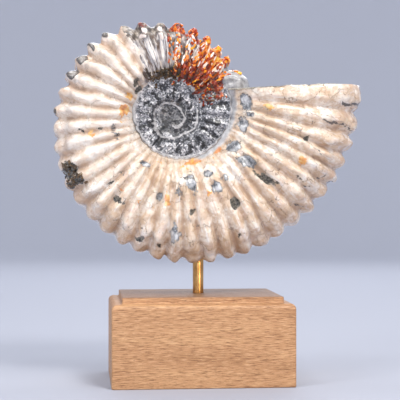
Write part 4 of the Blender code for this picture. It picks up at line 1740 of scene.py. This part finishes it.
def oiled_oak():
    """Light oak with its grain along the block: growth bands, light and dark fibres, pores, a painted shade
    on its top.
    """
    finish = {"Roughness": 0.5, "Coat Weight": 0.08, "Coat Roughness": 0.35, "IOR": 1.46}
    material, tree, shader = new_material("Oiled oak", finish)
    place = place_in_mm(tree)
    bands = grain(tree, place, 6.0, 3.0, 0.55, stretch=(14.0, 1.0, 1.0))
    colour = shades(
        tree,
        bands,
        (0.30, paint(168, 123, 84)),
        (0.50, paint(181, 135, 95)),
        (0.70, paint(192, 147, 105)),
    )
    fibre = grain(tree, place, 0.42, 3.0, 0.7, stretch=(13.0, 1.0, 1.0))
    colour = layer(tree, spread(tree, fibre, 0.49, 0.33, 0.0, 0.9), colour, paint(118, 80, 50))
    colour = layer(tree, spread(tree, fibre, 0.52, 0.66, 0.0, 0.7), colour, paint(216, 176, 134))
    height_up = add(tree, "ShaderNodeSeparateXYZ", {"Vector": place}).outputs["Z"]
    # Painted shade: the block's top face darkened.
    colour = layer(tree, spread(tree, height_up, *TOP_PAINTED_SHADE, 0.0, 0.7), colour, paint(112, 84, 66))
    pores = grain(tree, place, 0.4, 1.0, 0.5, stretch=(6.0, 1.0, 1.0))
    pore = spread(tree, pores, 0.36, 0.26)
    colour = layer(tree, times(tree, pore, 0.6), colour, paint(112, 80, 54))
    tree.links.new(colour, shader.inputs["Base Color"])
    tree.links.new(spread(tree, fibre, 0.3, 0.7, 0.58, 0.44), shader.inputs["Roughness"])
    height = value_of(tree, "SUBTRACT", times(tree, fibre, 0.5), pore)
    tree.links.new(bumped(tree, height, 0.00012, 0.7), shader.inputs["Normal"])
    return material


def polished_brass():
    """Brass rod with fine drawn lines along it and slight tarnish."""
    finish = {"Metallic": 1.0, "Roughness": 0.2}
    material, tree, shader = new_material("Polished brass", finish)
    place = place_in_mm(tree)
    clouds = grain(tree, place, 5.0, 3.0, 0.6)
    brass = (0.35, paint(202, 148, 86)), (0.55, paint(224, 174, 108)), (0.7, paint(238, 194, 130))
    colour = shades(tree, clouds, *brass)
    drawn = grain(tree, place, 0.22, 2.0, 0.6, stretch=(1.0, 1.0, 40.0))
    tree.links.new(colour, shader.inputs["Base Color"])
    tree.links.new(spread(tree, clouds, 0.35, 0.7, 0.27, 0.16), shader.inputs["Roughness"])
    tree.links.new(bumped(tree, drawn, 0.00003, 0.6), shader.inputs["Normal"])
    return material


def pale_floor():
    """The plain pale sheet that the object stands on."""
    finish = {"Base Color": paint(165, 169, 182), "Roughness": 0.75, "IOR": 1.4}
    return new_material("Pale floor", finish)[0]


def make_camera():
    """The camera of the front view."""
    lens = bpy.data.cameras.new("front_view")
    lens.lens = VIEW_LENS
    lens.sensor_width = VIEW_SENSOR
    lens.clip_start = 0.05
    lens.clip_end = 50.0
    camera = bpy.data.objects.new("front_view", lens)
    camera.location = VIEW_POINT
    camera.rotation_euler = (math.pi / 2, 0.0, -VIEW_TURN)
    bpy.context.scene.collection.objects.link(camera)
    bpy.context.scene.camera = camera


# The studio: a round pale floor that bends up into a wall
STUDIO_RADIUS = 2.4
STUDIO_BEND = 0.9
STUDIO_HEIGHT = 2.6
STUDIO_SIDES = 96
BEND_STEPS = 16


def make_floor():
    """A round pale sheet that lies under the object and bends up into a wall all round it."""
    profile = [(0.05, 0.0), (0.4, 0.0), (STUDIO_RADIUS - STUDIO_BEND, 0.0)]
    for step in range(1, BEND_STEPS + 1):
        a = math.radians(90 * step / BEND_STEPS)
        reach = STUDIO_RADIUS - STUDIO_BEND + STUDIO_BEND * math.sin(a)
        profile.append((reach, STUDIO_BEND * (1 - math.cos(a))))
    profile.append((STUDIO_RADIUS, STUDIO_HEIGHT))
    points = [tuple(point) for reach, level in profile for point in circle(reach, level, STUDIO_SIDES)]
    faces = [list(range(STUDIO_SIDES))] + loop_faces(len(profile), STUDIO_SIDES)
    mesh = bpy.data.meshes.new("floor_sheet")
    mesh.from_pydata(points, [], faces)
    floor = finish_mesh("floor_sheet", mesh)
    return floor


# The lights on the object: power in watts, place, width in metres and colour
WHITE = (1.0, 1.0, 1.0)
LIGHTS = (
    ("Key", 10.4, (0.35, -0.8, 1.0), 0.34, (1.0, 0.97, 0.92)),
    ("Side", 4.7, (-0.9, -0.7, 0.65), 0.34, (1.0, 0.98, 0.95)),
    ("Front", 1.8, (-0.25, -1.3, 0.35), 0.5, WHITE),
    ("Low", 1.2, (0.35, -0.7, 0.04), 0.25, (1.0, 0.72, 0.48)),
    ("Back", 4.0, (0.2, 1.1, 0.8), 0.8, WHITE),
)
LIT_PLACE = (0.0, 0.0, 0.13)

# The four lights on the wall, each at a reach and height and pointed at another reach and height
WALL_POWER = 27.0
WALL_WIDTH = 1.0
WALL_LIGHT = (1.1, 2.3)
WALL_TARGET = (2.4, 0.7)
SKY_COLOUR = (0.82, 0.81, 0.82, 1.0)
SKY_STRENGTH = 0.3


def make_light(name, power, place, width, colour, target):
    """A soft light at this place that points at the target."""
    lamp = bpy.data.lights.new(name, "AREA")
    lamp.energy = power
    lamp.size = width
    lamp.color = colour
    holder = bpy.data.objects.new(name, lamp)
    holder.location = place
    holder.rotation_euler = (Vector(target) - Vector(place)).to_track_quat("-Z", "Y").to_euler()
    holder.visible_camera = False
    bpy.context.scene.collection.objects.link(holder)


def make_lights():
    """The lights on the object and on the wall, and the even light of the room."""
    for light in LIGHTS:
        make_light(*light, LIT_PLACE)
    for side in range(4):
        a = math.radians(45 + 90 * side)
        near, far = ((out * math.cos(a), out * math.sin(a), up) for out, up in (WALL_LIGHT, WALL_TARGET))
        make_light("Wall light", WALL_POWER, near, WALL_WIDTH, WHITE, far)
    world = bpy.data.worlds.new("Studio")
    world.use_nodes = True
    sky = world.node_tree.nodes["Background"]
    sky.inputs["Color"].default_value = SKY_COLOUR
    sky.inputs["Strength"].default_value = SKY_STRENGTH
    bpy.context.scene.world = world
    bpy.context.scene.view_settings.view_transform = "Standard"


def dress_scene():
    """All the pieces with their materials on the one body, and the studio round them."""
    for make_group in (group_ragged_edge, group_sugary_crystal, group_nacre, group_grey_calcite, group_amber):
        make_group()
    fossil, where = make_fossil()
    for material in (pearly_shell(), crystal_core(), mouth_stone()):
        fossil.data.materials.append(material)
    crystals = make_crystals(where)
    crystals.data.materials.append(loose_crystal())
    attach(crystals, "root")
    block = make_block()
    sharpen(block, CRISP_EDGE)
    block.data.materials.append(oiled_oak())
    rod = make_rod()
    sharpen(rod, CRISP_EDGE)
    rod.data.materials.append(polished_brass())
    for piece, node, slot in ((fossil, "ammonite", "shell"), (block, "base", "block"), (rod, "pin", "rod")):
        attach(piece, "root")
        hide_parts(node)
    floor = make_floor()
    floor.data.materials.append(pale_floor())
    make_lights()
    make_camera()


dress_scene()
